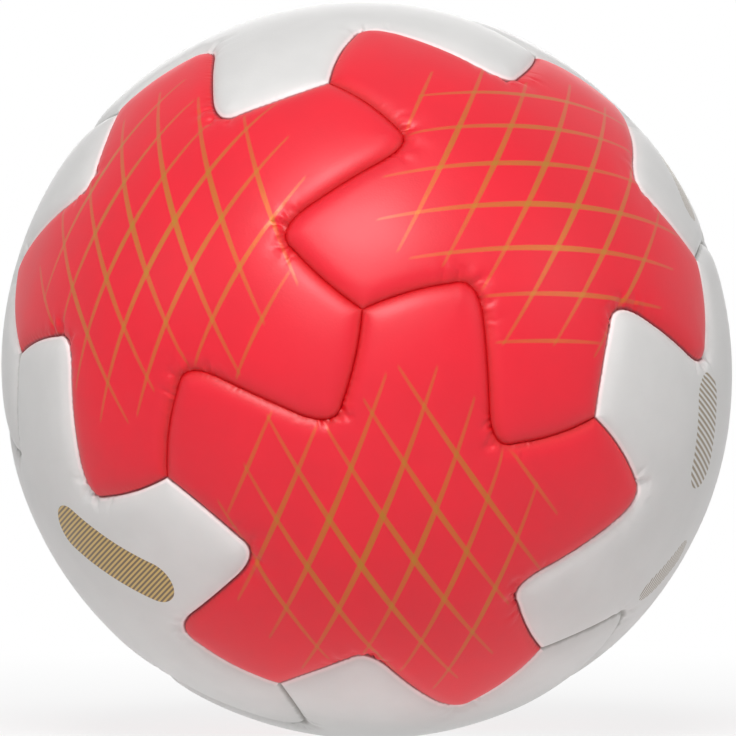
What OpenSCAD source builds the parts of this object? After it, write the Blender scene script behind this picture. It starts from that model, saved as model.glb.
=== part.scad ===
// Stitched handball of twelve interlocking panels round an inflated bladder.
// The origin is the centre of the ball, +Z is up and the viewer stands on -Y.
// Every panel is the same five-armed shape, so one outline serves all twelve.

/* [Ball] */
// Diameter over the crowns of the panels
ball_d = 188; // [180:1:200]
// How deep the seam line lies below the crowns
seam_depth = 1.6; // [1.2:0.1:1.8]
// Width of the rolled edge beside a seam
roll_w = 4; // [3:0.1:4.4]
// Space between two neighbouring covers
seam_gap = 0.2; // [0.1:0.05:0.3]

/* [Seam line] */
// Place of a seam's bend along the edge, from the edge's middle
bend_along = 10.2; // [9:0.1:11]
// Distance of the bend sideways from the edge
bend_out = 19.7; // [17:0.1:20]
// Length that the bend rounds off the outer leg
bend_cut_outer = 7.2; // [6:0.1:8]
// Length that the bend rounds off the middle leg
bend_cut_inner = 12; // [10:0.1:13]
// Bow of the outer leg
leg_bow = 0.9; // [0:0.1:1.2]

/* [Panel layers] */
// Thickness of the cover on top of the foam
cover_t = 1.4; // [1.2:0.1:1.6]
// Thickness of the cover's edge where it is turned in
flange_t = 0.9; // [0.7:0.1:1]
// Room beside the turned-in edge for the thread
thread_room = 1.6; // [1.5:0.1:1.9]
// Thickness of the foam
foam_t = 1.9; // [1.6:0.1:2]
// Thickness of the textile lining
lining_t = 0.9; // [0.6:0.1:1]
// Glue line between two layers
glue_t = 0.05; // [0.02:0.01:0.1]

/* [Stitching] */
// Diameter of the waxed thread
thread_d = 0.8; // [0.6:0.05:0.85]
// Diameter of a stitch hole
stitch_hole_d = 0.95; // [0.9:0.05:1]
// Depth of the stitches below the crowns
stitch_depth = 2.9; // [2.7:0.1:3.1]
// Distance from one stitch hole to the next
stitch_pitch = 6; // [5.6:0.1:7]
// Length left free of stitches at each end of a seam
stitch_margin = 4; // [3.5:0.5:6]

/* [Bladder] */
// Thickness of the bladder's wall
bladder_t = 1; // [0.8:0.1:1.2]
// Space between the linings and the bladder
bladder_gap = 0.2; // [0.1:0.05:0.4]

/* [Valve] */
// Diameter of the valve's head, which shows in the cover
valve_head_d = 7; // [6:0.5:8]
// Diameter of the hole through the panel
valve_hole_d = 7.6; // [7.4:0.1:8.6]
// How far the head sits below the cover's face
valve_sink = 0.7; // [0.4:0.1:1]
// Diameter of the valve's neck in the bladder's wall
valve_neck_d = 6; // [5:0.5:6.5]
// Diameter of the flange bonded under the bladder's wall
valve_flange_d = 20; // [16:1:24]
// Thickness of the flange
valve_flange_t = 1.2; // [1:0.1:1.6]
// Diameter of the barrel inside the bladder
valve_barrel_d = 9; // [8.5:0.5:11]
// Length of the valve from its head to the barrel's end
valve_length = 22; // [20:1:26]
// Diameter of the plug that seals round the needle
plug_d = 4.2; // [3.8:0.1:4.6]
// Length of the plug
plug_length = 17; // [15:0.5:18]
// Diameter of the needle's bore in the plug
needle_d = 2; // [1.8:0.1:2.2]
// Length of the needle's bore
needle_depth = 13; // [11:0.5:14]
// Mouth of the bore, which guides the needle in
needle_mouth_d = 3; // [2.6:0.1:3.2]
// Diameter of the patch round the valve, inside the bladder
patch_d = 28; // [24:1:34]
// Thickness of the patch
patch_t = 0.6; // [0.4:0.1:0.8]

/* [Pose] */
// How far the front vertex is lifted above the line of sight
vertex_lift = 9.3; // [0:0.1:20]
// How far the front vertex is turned aside
vertex_side = -0.7; // [-10:0.1:10]
// Turn of the panels about the front vertex
vertex_spin = 38.1; // [0:0.1:72]

/* [Hidden] */

// Colours
red = [0.88, 0.16, 0.24];
white = [0.88, 0.87, 0.85];
foam_grey = [0.75, 0.76, 0.78];
textile = [0.90, 0.88, 0.80];
dark_red = [0.50, 0.05, 0.09];
cream = [0.86, 0.83, 0.76];
latex = [0.16, 0.16, 0.17];
valve_black = [0.08, 0.08, 0.08];
plug_grey = [0.35, 0.35, 0.36];

// Radii of the layers, from the outside in
ball_r = ball_d / 2;
cover_in_r = ball_r - cover_t;
foam_out_r = cover_in_r - glue_t;
foam_in_r = foam_out_r - foam_t;
lining_out_r = foam_in_r - glue_t;
lining_in_r = lining_out_r - lining_t;
bladder_out_r = lining_in_r - bladder_gap;
bladder_in_r = bladder_out_r - bladder_t;
patch_out_r = bladder_in_r - glue_t;
patch_in_r = patch_out_r - patch_t;
stitch_r = ball_r - stitch_depth;

// Angles of the dodecahedron that the twelve panels follow
golden = (1 + sqrt(5)) / 2;
middle_polar = atan(1 / golden);
half_edge = acos(sqrt(5) / 3) / 2;
vertex_polar = acos(cos(middle_polar) * cos(half_edge));
arms = 5;
step = 360 / arms;

// Rings of three panels: angle from the front vertex, first azimuth, own turn
front = [vertex_polar, 0, 0];
belt_near = [vertex_polar + 2 * half_edge, 60, 0];
belt_far = [180 - vertex_polar - 2 * half_edge, 0, 180];
back = [180 - vertex_polar, 60, 180];

// How finely the outline is drawn
leg_steps = 2;
bend_steps = 5;
middle_steps = 2;
round_fn = 48;
cap_share = 1.45;
reach_share = 1.02;
roll_shares = [0.3];
overshoot_share = 0.12;
clear_share = 0.03;
sharpest_share = 0.6;

function unit(v) = v / norm(v);

// Point on a seam, as distances along and across its edge
bend = [-bend_along, bend_out];
edge_start = [-half_edge * ball_r * PI / 180, 0];
leg_dir = unit(bend - edge_start);
leg_side = [-leg_dir.y, leg_dir.x];
leg_end = bend - bend_cut_outer * leg_dir;
middle_start = bend - bend_cut_inner * unit(bend);

function on_leg(f) =
    edge_start + f * (leg_end - edge_start) + 4 * f * (1 - f) * leg_bow * leg_side;

function on_bend(f) =
    (1 - f) * (1 - f) * leg_end + 2 * f * (1 - f) * bend + f * f * middle_start;

function half_seam(legs, bends) = concat(
    [for (i = [0 : legs]) on_leg(i / legs)],
    [for (i = [1 : bends]) on_bend(i / bends)]);

function seam_points(legs, bends, middles) =
    let (half = half_seam(legs, bends), last = len(half) - 1)
    concat(
        half,
        [for (i = [1 : middles - 1]) middle_start * (1 - 2 * i / middles)],
        [for (i = [last : -1 : 0]) -half[i]]);

// Direction from the ball's centre to a point of edge k of a panel round +Z
function edge_dir(p, k) =
    let (
        az = 180 + (k + 0.5) * step,
        a = p.x / ball_r * 180 / PI,
        b = p.y / ball_r * 180 / PI,
        m = [sin(middle_polar) * cos(az), sin(middle_polar) * sin(az), cos(middle_polar)],
        t = [-sin(az), cos(az), 0])
    cos(b) * (cos(a) * m + sin(a) * t) + sin(b) * cross(m, t);

// The panel is drawn round +Y, so its spheres keep their poles off it
function side_on(p) = [p.x, p.z, -p.y];

seam_line = seam_points(leg_steps, bend_steps, middle_steps);
seam_count = len(seam_line) - 1;
outline = [for (k = [0 : arms - 1], i = [0 : seam_count - 1])
    side_on(edge_dir(seam_line[i], k))];
outline_count = len(outline);

// Ring of points at radius r, moved inwards from the seam
function ring_at(inset, r) = [for (i = [0 : outline_count - 1])
    let (
        b = outline[i],
        before = unit(cross(outline[(i + outline_count - 1) % outline_count], b)),
        after = unit(cross(b, outline[(i + 1) % outline_count])),
        mitre = unit(before + after))
    r * unit(b + mitre * inset / (ball_r * (mitre * before)))];

function roll_drop(share) = seam_depth * (1 - sqrt(1 - (1 - share) * (1 - share)));

// Solid from the ball's centre through stacked rings to a point far outside
module ring_cone(rings) {
    n = outline_count;
    top = len(rings) - 1;
    cap = n * len(rings) + 1;
    points = concat([[0, 0, 0]], [for (r = rings) each r], [[0, ball_r * cap_share, 0]]);
    walls = [for (i = [0 : n - 1]) [1 + i, 1 + (i + 1) % n, 0]];
    strips = [for (j = [0 : 1 : top - 1], i = [0 : n - 1])
        let (
            low = 1 + j * n + i,
            low_next = 1 + j * n + (i + 1) % n)
        each [[low, low + n, low_next + n], [low, low_next + n, low_next]]];
    fan = [for (i = [0 : n - 1]) [1 + top * n + i, cap, 1 + top * n + (i + 1) % n]];
    polyhedron(points, concat(walls, strips, fan));
}

// Cone of the panel's outline, inset from the seam
module panel_cone(inset) {
    ring_cone([ring_at(inset, ball_r * reach_share)]);
}

// Cone of the panel with its edge rolled down to the seam
module rolled_cone() {
    edge = seam_gap / 2;
    ring_cone([
        ring_at(edge, ball_r - seam_depth),
        for (share = roll_shares) ring_at(edge + share * roll_w, ball_r - roll_drop(share)),
        ring_at(edge + roll_w, ball_r + overshoot_share * seam_depth)]);
}

module ball(r) {
    sphere(r, $fn = 4 * round_fn);
}

module shell(r_out, r_in) {
    difference() {
        ball(r_out);
        ball(r_in);
    }
}

module rod(a, b, d) {
    way = b - a;
    length = norm(way);
    translate(a)
        rotate([0, acos(way.z / length), atan2(way.y, way.x)])
            cylinder(h = length, d = d, $fn = round_fn);
}

// Stations of the stitch holes, by length along the seam
fine_line = seam_points(leg_steps * 4, bend_steps * 4, middle_steps * 4);
fine_count = len(fine_line) - 1;

function length_from(i) =
    i >= fine_count ? 0 : norm(fine_line[i + 1] - fine_line[i]) + length_from(i + 1);

function seam_at(s, i = 0) =
    let (gone = norm(fine_line[i + 1] - fine_line[i]))
    s <= gone || i == fine_count - 1
        ? let (way = unit(fine_line[i + 1] - fine_line[i]))
            [fine_line[i] + s * way, [-way.y, way.x]]
        : seam_at(s - gone, i + 1);

seam_length = length_from(0);
stitch_run = seam_length - 2 * stitch_margin;
stitch_count = 2 * round(stitch_run / stitch_pitch / 2);
stitch_step = stitch_run / (stitch_count - 1);

// Point beside station s (a hole's number) of edge k, side mm off the seam
function beside(s, side, k) =
    let (at = seam_at(stitch_margin + s * stitch_step))
    stitch_r * side_on(edge_dir(at[0] + side * at[1], k));

module stitch_holes() {
    reach = seam_gap / 2 + flange_t + thread_room / 2;
    for (k = [0 : arms - 1], s = [0 : stitch_count - 1])
        rod(beside(s, -reach, k), beside(s, reach, k), stitch_hole_d);
}

// Cover of one panel: rolled face, turned-in edge and stitch holes
module cover() {
    difference() {
        intersection() {
            rolled_cone();
            ball(ball_r);
        }
        ball(lining_in_r);
        intersection() {
            panel_cone(seam_gap / 2 + flange_t);
            ball(cover_in_r);
        }
        stitch_holes();
    }
}

module pad(r_out, r_in) {
    intersection() {
        panel_cone(seam_gap / 2 + flange_t + thread_room);
        shell(r_out, r_in);
    }
}

module foam() {
    pad(foam_out_r, foam_in_r);
}

module lining() {
    pad(lining_out_r, lining_in_r);
}

// Hole through a panel for the valve, along +Y of the panel
module valve_hole() {
    rotate([-90, 0, 0])
        cylinder(h = ball_d, d = valve_hole_d, $fn = round_fn);
}

// Path of the thread: through a hole, along the edge, back through the next
function seam_path(k) =
    let (reach = seam_gap / 2 + flange_t + thread_room / 2)
    [for (s = [0 : stitch_count - 1])
        let (
            side = s % 2 == 0 ? reach : -reach,
            here = beside(s, -side, k),
            next = beside(s + 1, -side, k),
            middle = beside(s + 0.5, -side, k),
            bent = norm((here + next) / 2 - middle) > clear_share * stitch_pitch)
        each concat(
            [beside(s, side, k), here],
            s < stitch_count - 1 && bent ? [middle] : [])];

// Thread of one seam, a square-laid strand along its path
module seam_thread(k) {
    path = seam_path(k);
    last = len(path) - 1;
    r = thread_d / 2;
    sections = [for (i = [0 : last])
        let (
            up = unit(path[i]),
            come = i == 0 ? unit(path[1] - path[0]) : unit(path[i] - path[i - 1]),
            go = i == last ? come : unit(path[i + 1] - path[i]),
            side = unit(cross(up, come + go)),
            wide = r / max(sharpest_share, sqrt((1 + come * go) / 2)))
        each [path[i] + wide * side, path[i] + r * up, path[i] - wide * side, path[i] - r * up]];
    sides = [for (i = [0 : last - 1], j = [0 : 3])
        let (
            a = 4 * i + j,
            b = 4 * i + (j + 1) % 4)
        each [[a, b + 4, b], [a, a + 4, b + 4]]];
    ends = [[0, 1, 2, 3], [4 * last + 3, 4 * last + 2, 4 * last + 1, 4 * last]];
    polyhedron(sections, concat(sides, ends));
}

// Panel k of a ring, moved from its drawing place round +Y
module at_panel(ring, k) {
    rotate([90 - vertex_lift, 0, vertex_side])
        rotate([0, 0, vertex_spin + ring[1] + 120 * k])
            rotate([0, ring[0], 0])
                rotate([90, 0, ring[2]])
                    children();
}

module ring_thread(ring, edges) {
    for (n = [0 : 2])
        at_panel(ring, n)
            for (k = edges)
                seam_thread(k);
}

// Covers
module cover_front_right() color(red) at_panel(front, 0) cover();
module cover_front_left() color(red) at_panel(front, 1) cover();
module cover_front_low() color(red) at_panel(front, 2) cover();
module cover_top() color(white) at_panel(belt_near, 0) cover();
module cover_low_left() color(white) at_panel(belt_near, 1) cover();
module cover_low_right() color(white) at_panel(belt_near, 2) cover();
module cover_high_right() color(white) at_panel(belt_far, 0) cover();
module cover_high_left() color(white) at_panel(belt_far, 1) cover();
module cover_bottom() color(white) at_panel(belt_far, 2) cover();
module cover_back_left() color(red) at_panel(back, 1) cover();
module cover_back_right() color(red) at_panel(back, 2) cover();

module cover_back_high() {
    color(red) at_panel(back, 0) difference() {
        cover();
        valve_hole();
    }
}

// Foam pads
module foam_front_right() color(foam_grey) at_panel(front, 0) foam();
module foam_front_left() color(foam_grey) at_panel(front, 1) foam();
module foam_front_low() color(foam_grey) at_panel(front, 2) foam();
module foam_top() color(foam_grey) at_panel(belt_near, 0) foam();
module foam_low_left() color(foam_grey) at_panel(belt_near, 1) foam();
module foam_low_right() color(foam_grey) at_panel(belt_near, 2) foam();
module foam_high_right() color(foam_grey) at_panel(belt_far, 0) foam();
module foam_high_left() color(foam_grey) at_panel(belt_far, 1) foam();
module foam_bottom() color(foam_grey) at_panel(belt_far, 2) foam();
module foam_back_left() color(foam_grey) at_panel(back, 1) foam();
module foam_back_right() color(foam_grey) at_panel(back, 2) foam();

module foam_back_high() {
    color(foam_grey) at_panel(back, 0) difference() {
        foam();
        valve_hole();
    }
}

// Textile linings
module lining_front_right() color(textile) at_panel(front, 0) lining();
module lining_front_left() color(textile) at_panel(front, 1) lining();
module lining_front_low() color(textile) at_panel(front, 2) lining();
module lining_top() color(textile) at_panel(belt_near, 0) lining();
module lining_low_left() color(textile) at_panel(belt_near, 1) lining();
module lining_low_right() color(textile) at_panel(belt_near, 2) lining();
module lining_high_right() color(textile) at_panel(belt_far, 0) lining();
module lining_high_left() color(textile) at_panel(belt_far, 1) lining();
module lining_bottom() color(textile) at_panel(belt_far, 2) lining();
module lining_back_left() color(textile) at_panel(back, 1) lining();
module lining_back_right() color(textile) at_panel(back, 2) lining();

module lining_back_high() {
    color(textile) at_panel(back, 0) difference() {
        lining();
        valve_hole();
    }
}

// Threads, one strand a seam
module thread_front() color(dark_red) ring_thread(front, [0]);
module thread_front_border() color(cream) ring_thread(front, [1, 2, 3]);
module thread_belt() color(cream) ring_thread(belt_near, [1, 3]);
module thread_back_border() color(cream) ring_thread(back, [1, 2, 3]);
module thread_back() color(dark_red) ring_thread(back, [0]);

// Turned piece along the valve's axis, from points of [radius, height]
module turned(profile) {
    rotate([-90, 0, 0])
        rotate_extrude($fn = 2 * round_fn)
            polygon(profile);
}

head_r = ball_r - valve_sink;
head_under_r = bladder_out_r + glue_t;
barrel_end_r = head_r - valve_length;
flange_out_r = patch_in_r - glue_t;
flange_in_r = flange_out_r - valve_flange_t;
plug_end_r = head_r - plug_length;
needle_end_r = head_r - needle_depth;
neck_clear = 2 * glue_t;

module bladder() {
    color(latex) at_panel(back, 0) difference() {
        shell(bladder_out_r, bladder_in_r);
        rotate([-90, 0, 0])
            cylinder(h = ball_d, d = valve_neck_d + neck_clear, $fn = round_fn);
    }
}

// Moulded rubber body of the valve: head, neck, flange and barrel
module valve_body() {
    color(valve_black) at_panel(back, 0) difference() {
        union() {
            turned([
                [0, barrel_end_r], [valve_barrel_d / 2, barrel_end_r],
                [valve_barrel_d / 2, flange_in_r], [0, flange_in_r]]);
            turned([
                [0, flange_in_r - valve_flange_t], [valve_neck_d / 2, flange_in_r - valve_flange_t],
                [valve_neck_d / 2, head_under_r], [valve_head_d / 2, head_under_r],
                [valve_head_d / 2, head_r], [0, head_r]]);
            intersection() {
                shell(flange_out_r, flange_in_r);
                turned([
                    [0, 0], [valve_flange_d / 2, 0],
                    [valve_flange_d / 2, ball_r], [0, ball_r]]);
            }
        }
        turned([
            [0, plug_end_r - glue_t], [plug_d / 2 + glue_t, plug_end_r - glue_t],
            [plug_d / 2 + glue_t, ball_r], [0, ball_r]]);
    }
}

// Soft plug that closes round the needle
module valve_plug() {
    mouth_r = head_r - (needle_mouth_d - needle_d) / 2;
    color(plug_grey) at_panel(back, 0) turned([
        [0, plug_end_r], [plug_d / 2, plug_end_r], [plug_d / 2, head_r],
        [needle_mouth_d / 2, head_r], [needle_d / 2, mouth_r],
        [needle_d / 2, needle_end_r], [0, needle_end_r]]);
}

// Ring that doubles the bladder's wall round the valve
module valve_patch() {
    color(plug_grey) at_panel(back, 0) intersection() {
        shell(patch_out_r, patch_in_r);
        turned([
            [valve_neck_d / 2 + neck_clear, 0], [patch_d / 2, 0],
            [patch_d / 2, ball_r], [valve_neck_d / 2 + neck_clear, ball_r]]);
    }
}

cover_front_right();
cover_front_left();
cover_front_low();
cover_top();
cover_low_left();
cover_low_right();
cover_high_right();
cover_high_left();
cover_bottom();
cover_back_high();
cover_back_left();
cover_back_right();
foam_front_right();
foam_front_left();
foam_front_low();
foam_top();
foam_low_left();
foam_low_right();
foam_high_right();
foam_high_left();
foam_bottom();
foam_back_high();
foam_back_left();
foam_back_right();
lining_front_right();
lining_front_left();
lining_front_low();
lining_top();
lining_low_left();
lining_low_right();
lining_high_right();
lining_high_left();
lining_bottom();
lining_back_high();
lining_back_left();
lining_back_right();
thread_front();
thread_front_border();
thread_belt();
thread_back_border();
thread_back();
bladder();
valve_body();
valve_plug();
valve_patch();
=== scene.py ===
"""Looks of a stitched handball: twelve interlocking leather panels round its inflated bladder."""

import enum
import logging
import math
from dataclasses import dataclass, field, replace
from typing import Any, Sequence

import bpy
import numpy as np
from mathutils import Euler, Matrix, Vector
from mathutils.geometry import delaunay_2d_cdt
from mathutils.kdtree import KDTree


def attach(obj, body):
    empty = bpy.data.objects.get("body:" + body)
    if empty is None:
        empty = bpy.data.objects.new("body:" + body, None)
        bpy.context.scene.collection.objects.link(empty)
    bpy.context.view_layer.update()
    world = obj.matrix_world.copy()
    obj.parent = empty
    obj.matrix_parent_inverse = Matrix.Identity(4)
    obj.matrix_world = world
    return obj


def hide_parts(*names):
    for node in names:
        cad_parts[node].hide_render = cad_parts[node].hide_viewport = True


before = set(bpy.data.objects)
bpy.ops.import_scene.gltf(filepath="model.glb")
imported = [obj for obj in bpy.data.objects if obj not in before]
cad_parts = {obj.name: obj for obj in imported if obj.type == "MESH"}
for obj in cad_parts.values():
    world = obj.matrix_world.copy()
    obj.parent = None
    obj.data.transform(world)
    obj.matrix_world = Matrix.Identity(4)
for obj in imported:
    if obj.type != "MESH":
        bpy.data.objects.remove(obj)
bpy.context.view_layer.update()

LOG = logging.getLogger("handball")
MM = 0.001
TURN = 2 * math.pi
BODY = "root"
ORIGIN = (0.0, 0.0, 0.0)
WHITE = (1.0, 1.0, 1.0)
ARMS = 5
RIM_POINTS = 48
FIRST_SEED = 3.0

# Three panels meet at a corner, where each has 120 degrees
MITRE = math.tan(math.radians(30))

# The flat map spans a square of this many millimetres, round a panel's middle
PLANE_MAP = "PanelPlane"
PLANE_SPAN = 140.0
MAP_MIDDLE = (0.5, 0.5, 0.0)

# The outer skin takes most of the bake map, and the hidden faces a small patch in a corner
BAKE_MAP = "OFBake"
BAKE_SPAN = 2.04
PATCH_MIDDLE, PATCH_SHARE = 0.09, 0.16

Array = np.ndarray
Colour = tuple[float, float, float]
Pair = tuple[float, float]


@dataclass(frozen=True)
class Wire:
    """A number or vector in a node tree. Arithmetic with it adds the tree's nodes."""

    wiring: "Wiring"
    socket: bpy.types.NodeSocket

    def __add__(self, other: Any) -> "Wire":
        """Returns the sum."""
        return self.wiring.math("ADD", self, other)

    def __sub__(self, other: Any) -> "Wire":
        """Returns the difference."""
        return self.wiring.math("SUBTRACT", self, other)

    def __rsub__(self, other: Any) -> "Wire":
        """Returns a number less this."""
        return self.wiring.math("SUBTRACT", other, self)

    def __mul__(self, other: Any) -> "Wire":
        """Returns the product."""
        return self.wiring.math("MULTIPLY", self, other)

    def __truediv__(self, other: Any) -> "Wire":
        """Returns the quotient."""
        return self.wiring.math("DIVIDE", self, other)

    def __rtruediv__(self, other: Any) -> "Wire":
        """Returns a number divided by this."""
        return self.wiring.math("DIVIDE", other, self)

    def __pow__(self, power: float) -> "Wire":
        """Returns the power."""
        return self.wiring.math("POWER", self, power)

    def __abs__(self) -> "Wire":
        """Returns the value without its sign."""
        return self.wiring.math("ABSOLUTE", self)


@dataclass(frozen=True)
class Wiring:
    """Adds nodes to one node tree and links them."""

    tree: bpy.types.NodeTree

    def put(self, socket: bpy.types.NodeSocket, value: Any) -> None:
        """Links a wire to a socket or sets the socket's own value.

        Args:
            socket: The input socket.
            value: A wire, a number, a vector, a colour or a material.
        """
        if isinstance(value, Wire):
            self.tree.links.new(value.socket, socket)
        else:
            socket.default_value = (*value[:3], 1.0) if socket.type == "RGBA" else value

    def fill(self, node: bpy.types.Node, **inputs: Any) -> bpy.types.Node:
        """Gives a node its inputs and returns it.

        Args:
            node: The node.
            **inputs: Values or wires of its sockets, with _ for a space in a socket's name.

        Returns:
            The same node.
        """
        for name, value in inputs.items():
            self.put(node.inputs[name.replace("_", " ")], value)
        return node

    def out(self, kind: str, output: int | str = 0, settings: dict[str, Any] | None = None,
            numbered: dict[int, Any] | None = None, **inputs: Any) -> Wire:
        """Adds a node.

        Args:
            kind: Blender's identifier of the node's type.
            output: Name or number of the output that is wanted.
            settings: Properties of the node.
            numbered: Values or wires of sockets that are known by number.
            **inputs: Values or wires of named sockets, with _ for a space.

        Returns:
            The node's output.
        """
        made = self.tree.nodes.new(kind)
        for name, value in (settings or {}).items():
            setattr(made, name, value)
        for index, value in (numbered or {}).items():
            self.put(made.inputs[index], value)
        return Wire(self, self.fill(made, **inputs).outputs[output])

    def math(self, operation: str, *values: Any, clamp: bool = False) -> Wire:
        """Adds one step of arithmetic, whose result is kept from 0 to 1 with clamp."""
        settings = {"operation": operation, "use_clamp": clamp}
        return self.out("ShaderNodeMath", 0, settings, dict(enumerate(values)))

    def vector(self, operation: str, *values: Any, **named: Any) -> Wire:
        """Adds one step of vector arithmetic.

        Args:
            operation: Name of the operation.
            *values: Vectors or wires that it works on.
            **named: The factor Scale of the operation SCALE.

        Returns:
            The result, a number where the operation gives one.
        """
        output = "Value" if operation in ("DOT_PRODUCT", "LENGTH") else "Vector"
        settings = {"operation": operation}
        return self.out("ShaderNodeVectorMath", output, settings, dict(enumerate(values)), **named)

    def share(self, value: Wire, whole: Any) -> Wire:
        """Returns how much of the whole a value is, from 0 to 1."""
        return self.math("DIVIDE", value, whole, clamp=True)

    def fade(self, value: Any, low: Any, high: Any) -> Wire:
        """Returns 0 where value is below low and 1 above high, with a smooth way between."""
        return self.out("ShaderNodeMapRange", "Result", {"interpolation_type": "SMOOTHSTEP"},
                        Value=value, From_Min=low, From_Max=high)

    def blend(self, share: Any, low: Any, high: Any) -> Wire:
        """Returns the number that lies the given share of the way from low to high."""
        return self.out("ShaderNodeMix", 0, {"data_type": "FLOAT"}, {0: share, 2: low, 3: high})

    def tint(self, share: Any, low: Any, high: Any) -> Wire:
        """Returns the colour that lies the given share of the way from low to high."""
        return self.out("ShaderNodeMix", 2, {"data_type": "RGBA"}, {0: share, 6: low, 7: high})

    def noise(self, where: Wire, scale: Any, detail: float = 2.0, **seed: Any) -> Wire:
        """Adds soft noise.

        Args:
            where: Coordinates.
            scale: How fine the noise is.
            detail: How many finer layers lie on it.
            **seed: Fourth coordinate W, which picks another noise.

        Returns:
            The noise, from about 0.2 to about 0.8.
        """
        return self.out("ShaderNodeTexNoise", 0, {"noise_dimensions": "4D" if seed else "3D"},
                        Vector=where, Scale=scale, Detail=detail, **seed)

    def piece_place(self) -> Wire:
        """Returns the piece's object coordinates."""
        return self.out("ShaderNodeTexCoord", "Object")

    def plane_place(self) -> Wire:
        """Returns the place on a panel's flat map."""
        return self.out("ShaderNodeUVMap", "UV", {"uv_map": PLANE_MAP})

    def relief(self, height: Wire, depth: float, strength: float) -> Wire:
        """Returns the normal of a surface with a relief, whose depth is in millimetres."""
        return self.out("ShaderNodeBump", "Normal", Height=height, Distance=depth * MM, Strength=strength)


def stand(name: str, data: Any) -> bpy.types.Object:
    """Puts a new object into the scene.

    Args:
        name: The object's name.
        data: Its mesh, curve, camera or light.

    Returns:
        The object.
    """
    made = bpy.data.objects.new(name, data)
    bpy.context.scene.collection.objects.link(made)
    return made


def flat_turn(degrees: float) -> Array:
    """Returns the matrix that turns rows of flat places clockwise by an angle."""
    angle = math.radians(degrees)
    return np.array([[math.cos(angle), -math.sin(angle)], [math.sin(angle), math.cos(angle)]])


def turned(axis: str, degrees: float) -> Array:
    """Returns the rotation by an angle round one of the axes."""
    angles = [math.radians(degrees) if name == axis else 0.0 for name in "XYZ"]
    return np.array(Euler(angles).to_matrix())


def unit(v: Array) -> Array:
    """Returns each row at length 1."""
    return v / np.linalg.norm(v, axis=-1, keepdims=True)


# Panels, their places and their outline


@dataclass(frozen=True)
class PrintPlace:
    """How a panel's print is moved and turned, in millimetres and degrees, and which arm it is on."""

    shift: Pair = (0.0, 0.0)
    tilt: float = 0.0
    arms: int = 0

    def map(self, plane: Array) -> Array:
        """Returns places in the print from places on the flat panel."""
        on_arm = plane @ flat_turn(180 + self.arms * 360 / ARMS)
        return (on_arm - np.array(self.shift)) @ flat_turn(self.tilt)


class Ring(enum.Enum):
    """Rings of three panels: edges from the nearer vertex, azimuth, and whether that is the back one."""

    FRONT = (0, 0, False)
    BELT_NEAR = (1, 60, False)
    BELT_FAR = (1, 0, True)
    BACK = (0, 60, True)


class Panel(enum.Enum):
    """The twelve panels, each with its ring and its number in the ring."""

    FRONT_RIGHT = (Ring.FRONT, 0)
    FRONT_LEFT = (Ring.FRONT, 1)
    FRONT_LOW = (Ring.FRONT, 2)
    TOP = (Ring.BELT_NEAR, 0)
    LOW_LEFT = (Ring.BELT_NEAR, 1)
    LOW_RIGHT = (Ring.BELT_NEAR, 2)
    HIGH_RIGHT = (Ring.BELT_FAR, 0)
    HIGH_LEFT = (Ring.BELT_FAR, 1)
    BOTTOM = (Ring.BELT_FAR, 2)
    BACK_HIGH = (Ring.BACK, 0)
    BACK_LEFT = (Ring.BACK, 1)
    BACK_RIGHT = (Ring.BACK, 2)

    @property
    def label(self) -> str:
        """The panel's name as the CAD nodes give it."""
        return self.name.lower()

    @property
    def ring(self) -> Ring:
        """The ring that the panel is in."""
        return self.value[0]

    @property
    def is_red(self) -> bool:
        """Whether the panel is one of the red ones round the front or the back vertex."""
        return self.ring in (Ring.FRONT, Ring.BACK)

    @property
    def has_valve(self) -> bool:
        """Whether the valve comes through the panel."""
        return self is Panel.BACK_HIGH

    @property
    def printing(self) -> PrintPlace:
        """Where the print lies on this panel.

        Returns:
            The place, without a shift or a turn where none is named.
        """
        return {
            Panel.FRONT_RIGHT: PrintPlace((0.1, 0.19), -0.31),
            Panel.FRONT_LEFT: PrintPlace((0.53, -1.85), 0.69, arms=-1),
            Panel.FRONT_LOW: PrintPlace((0.46, -0.28), -0.67),
            Panel.BACK_LEFT: PrintPlace((-0.4, 0.7), 0.5),
            Panel.BACK_RIGHT: PrintPlace((0.6, 0.3), -0.4, arms=1),
        }.get(self, PrintPlace())


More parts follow.
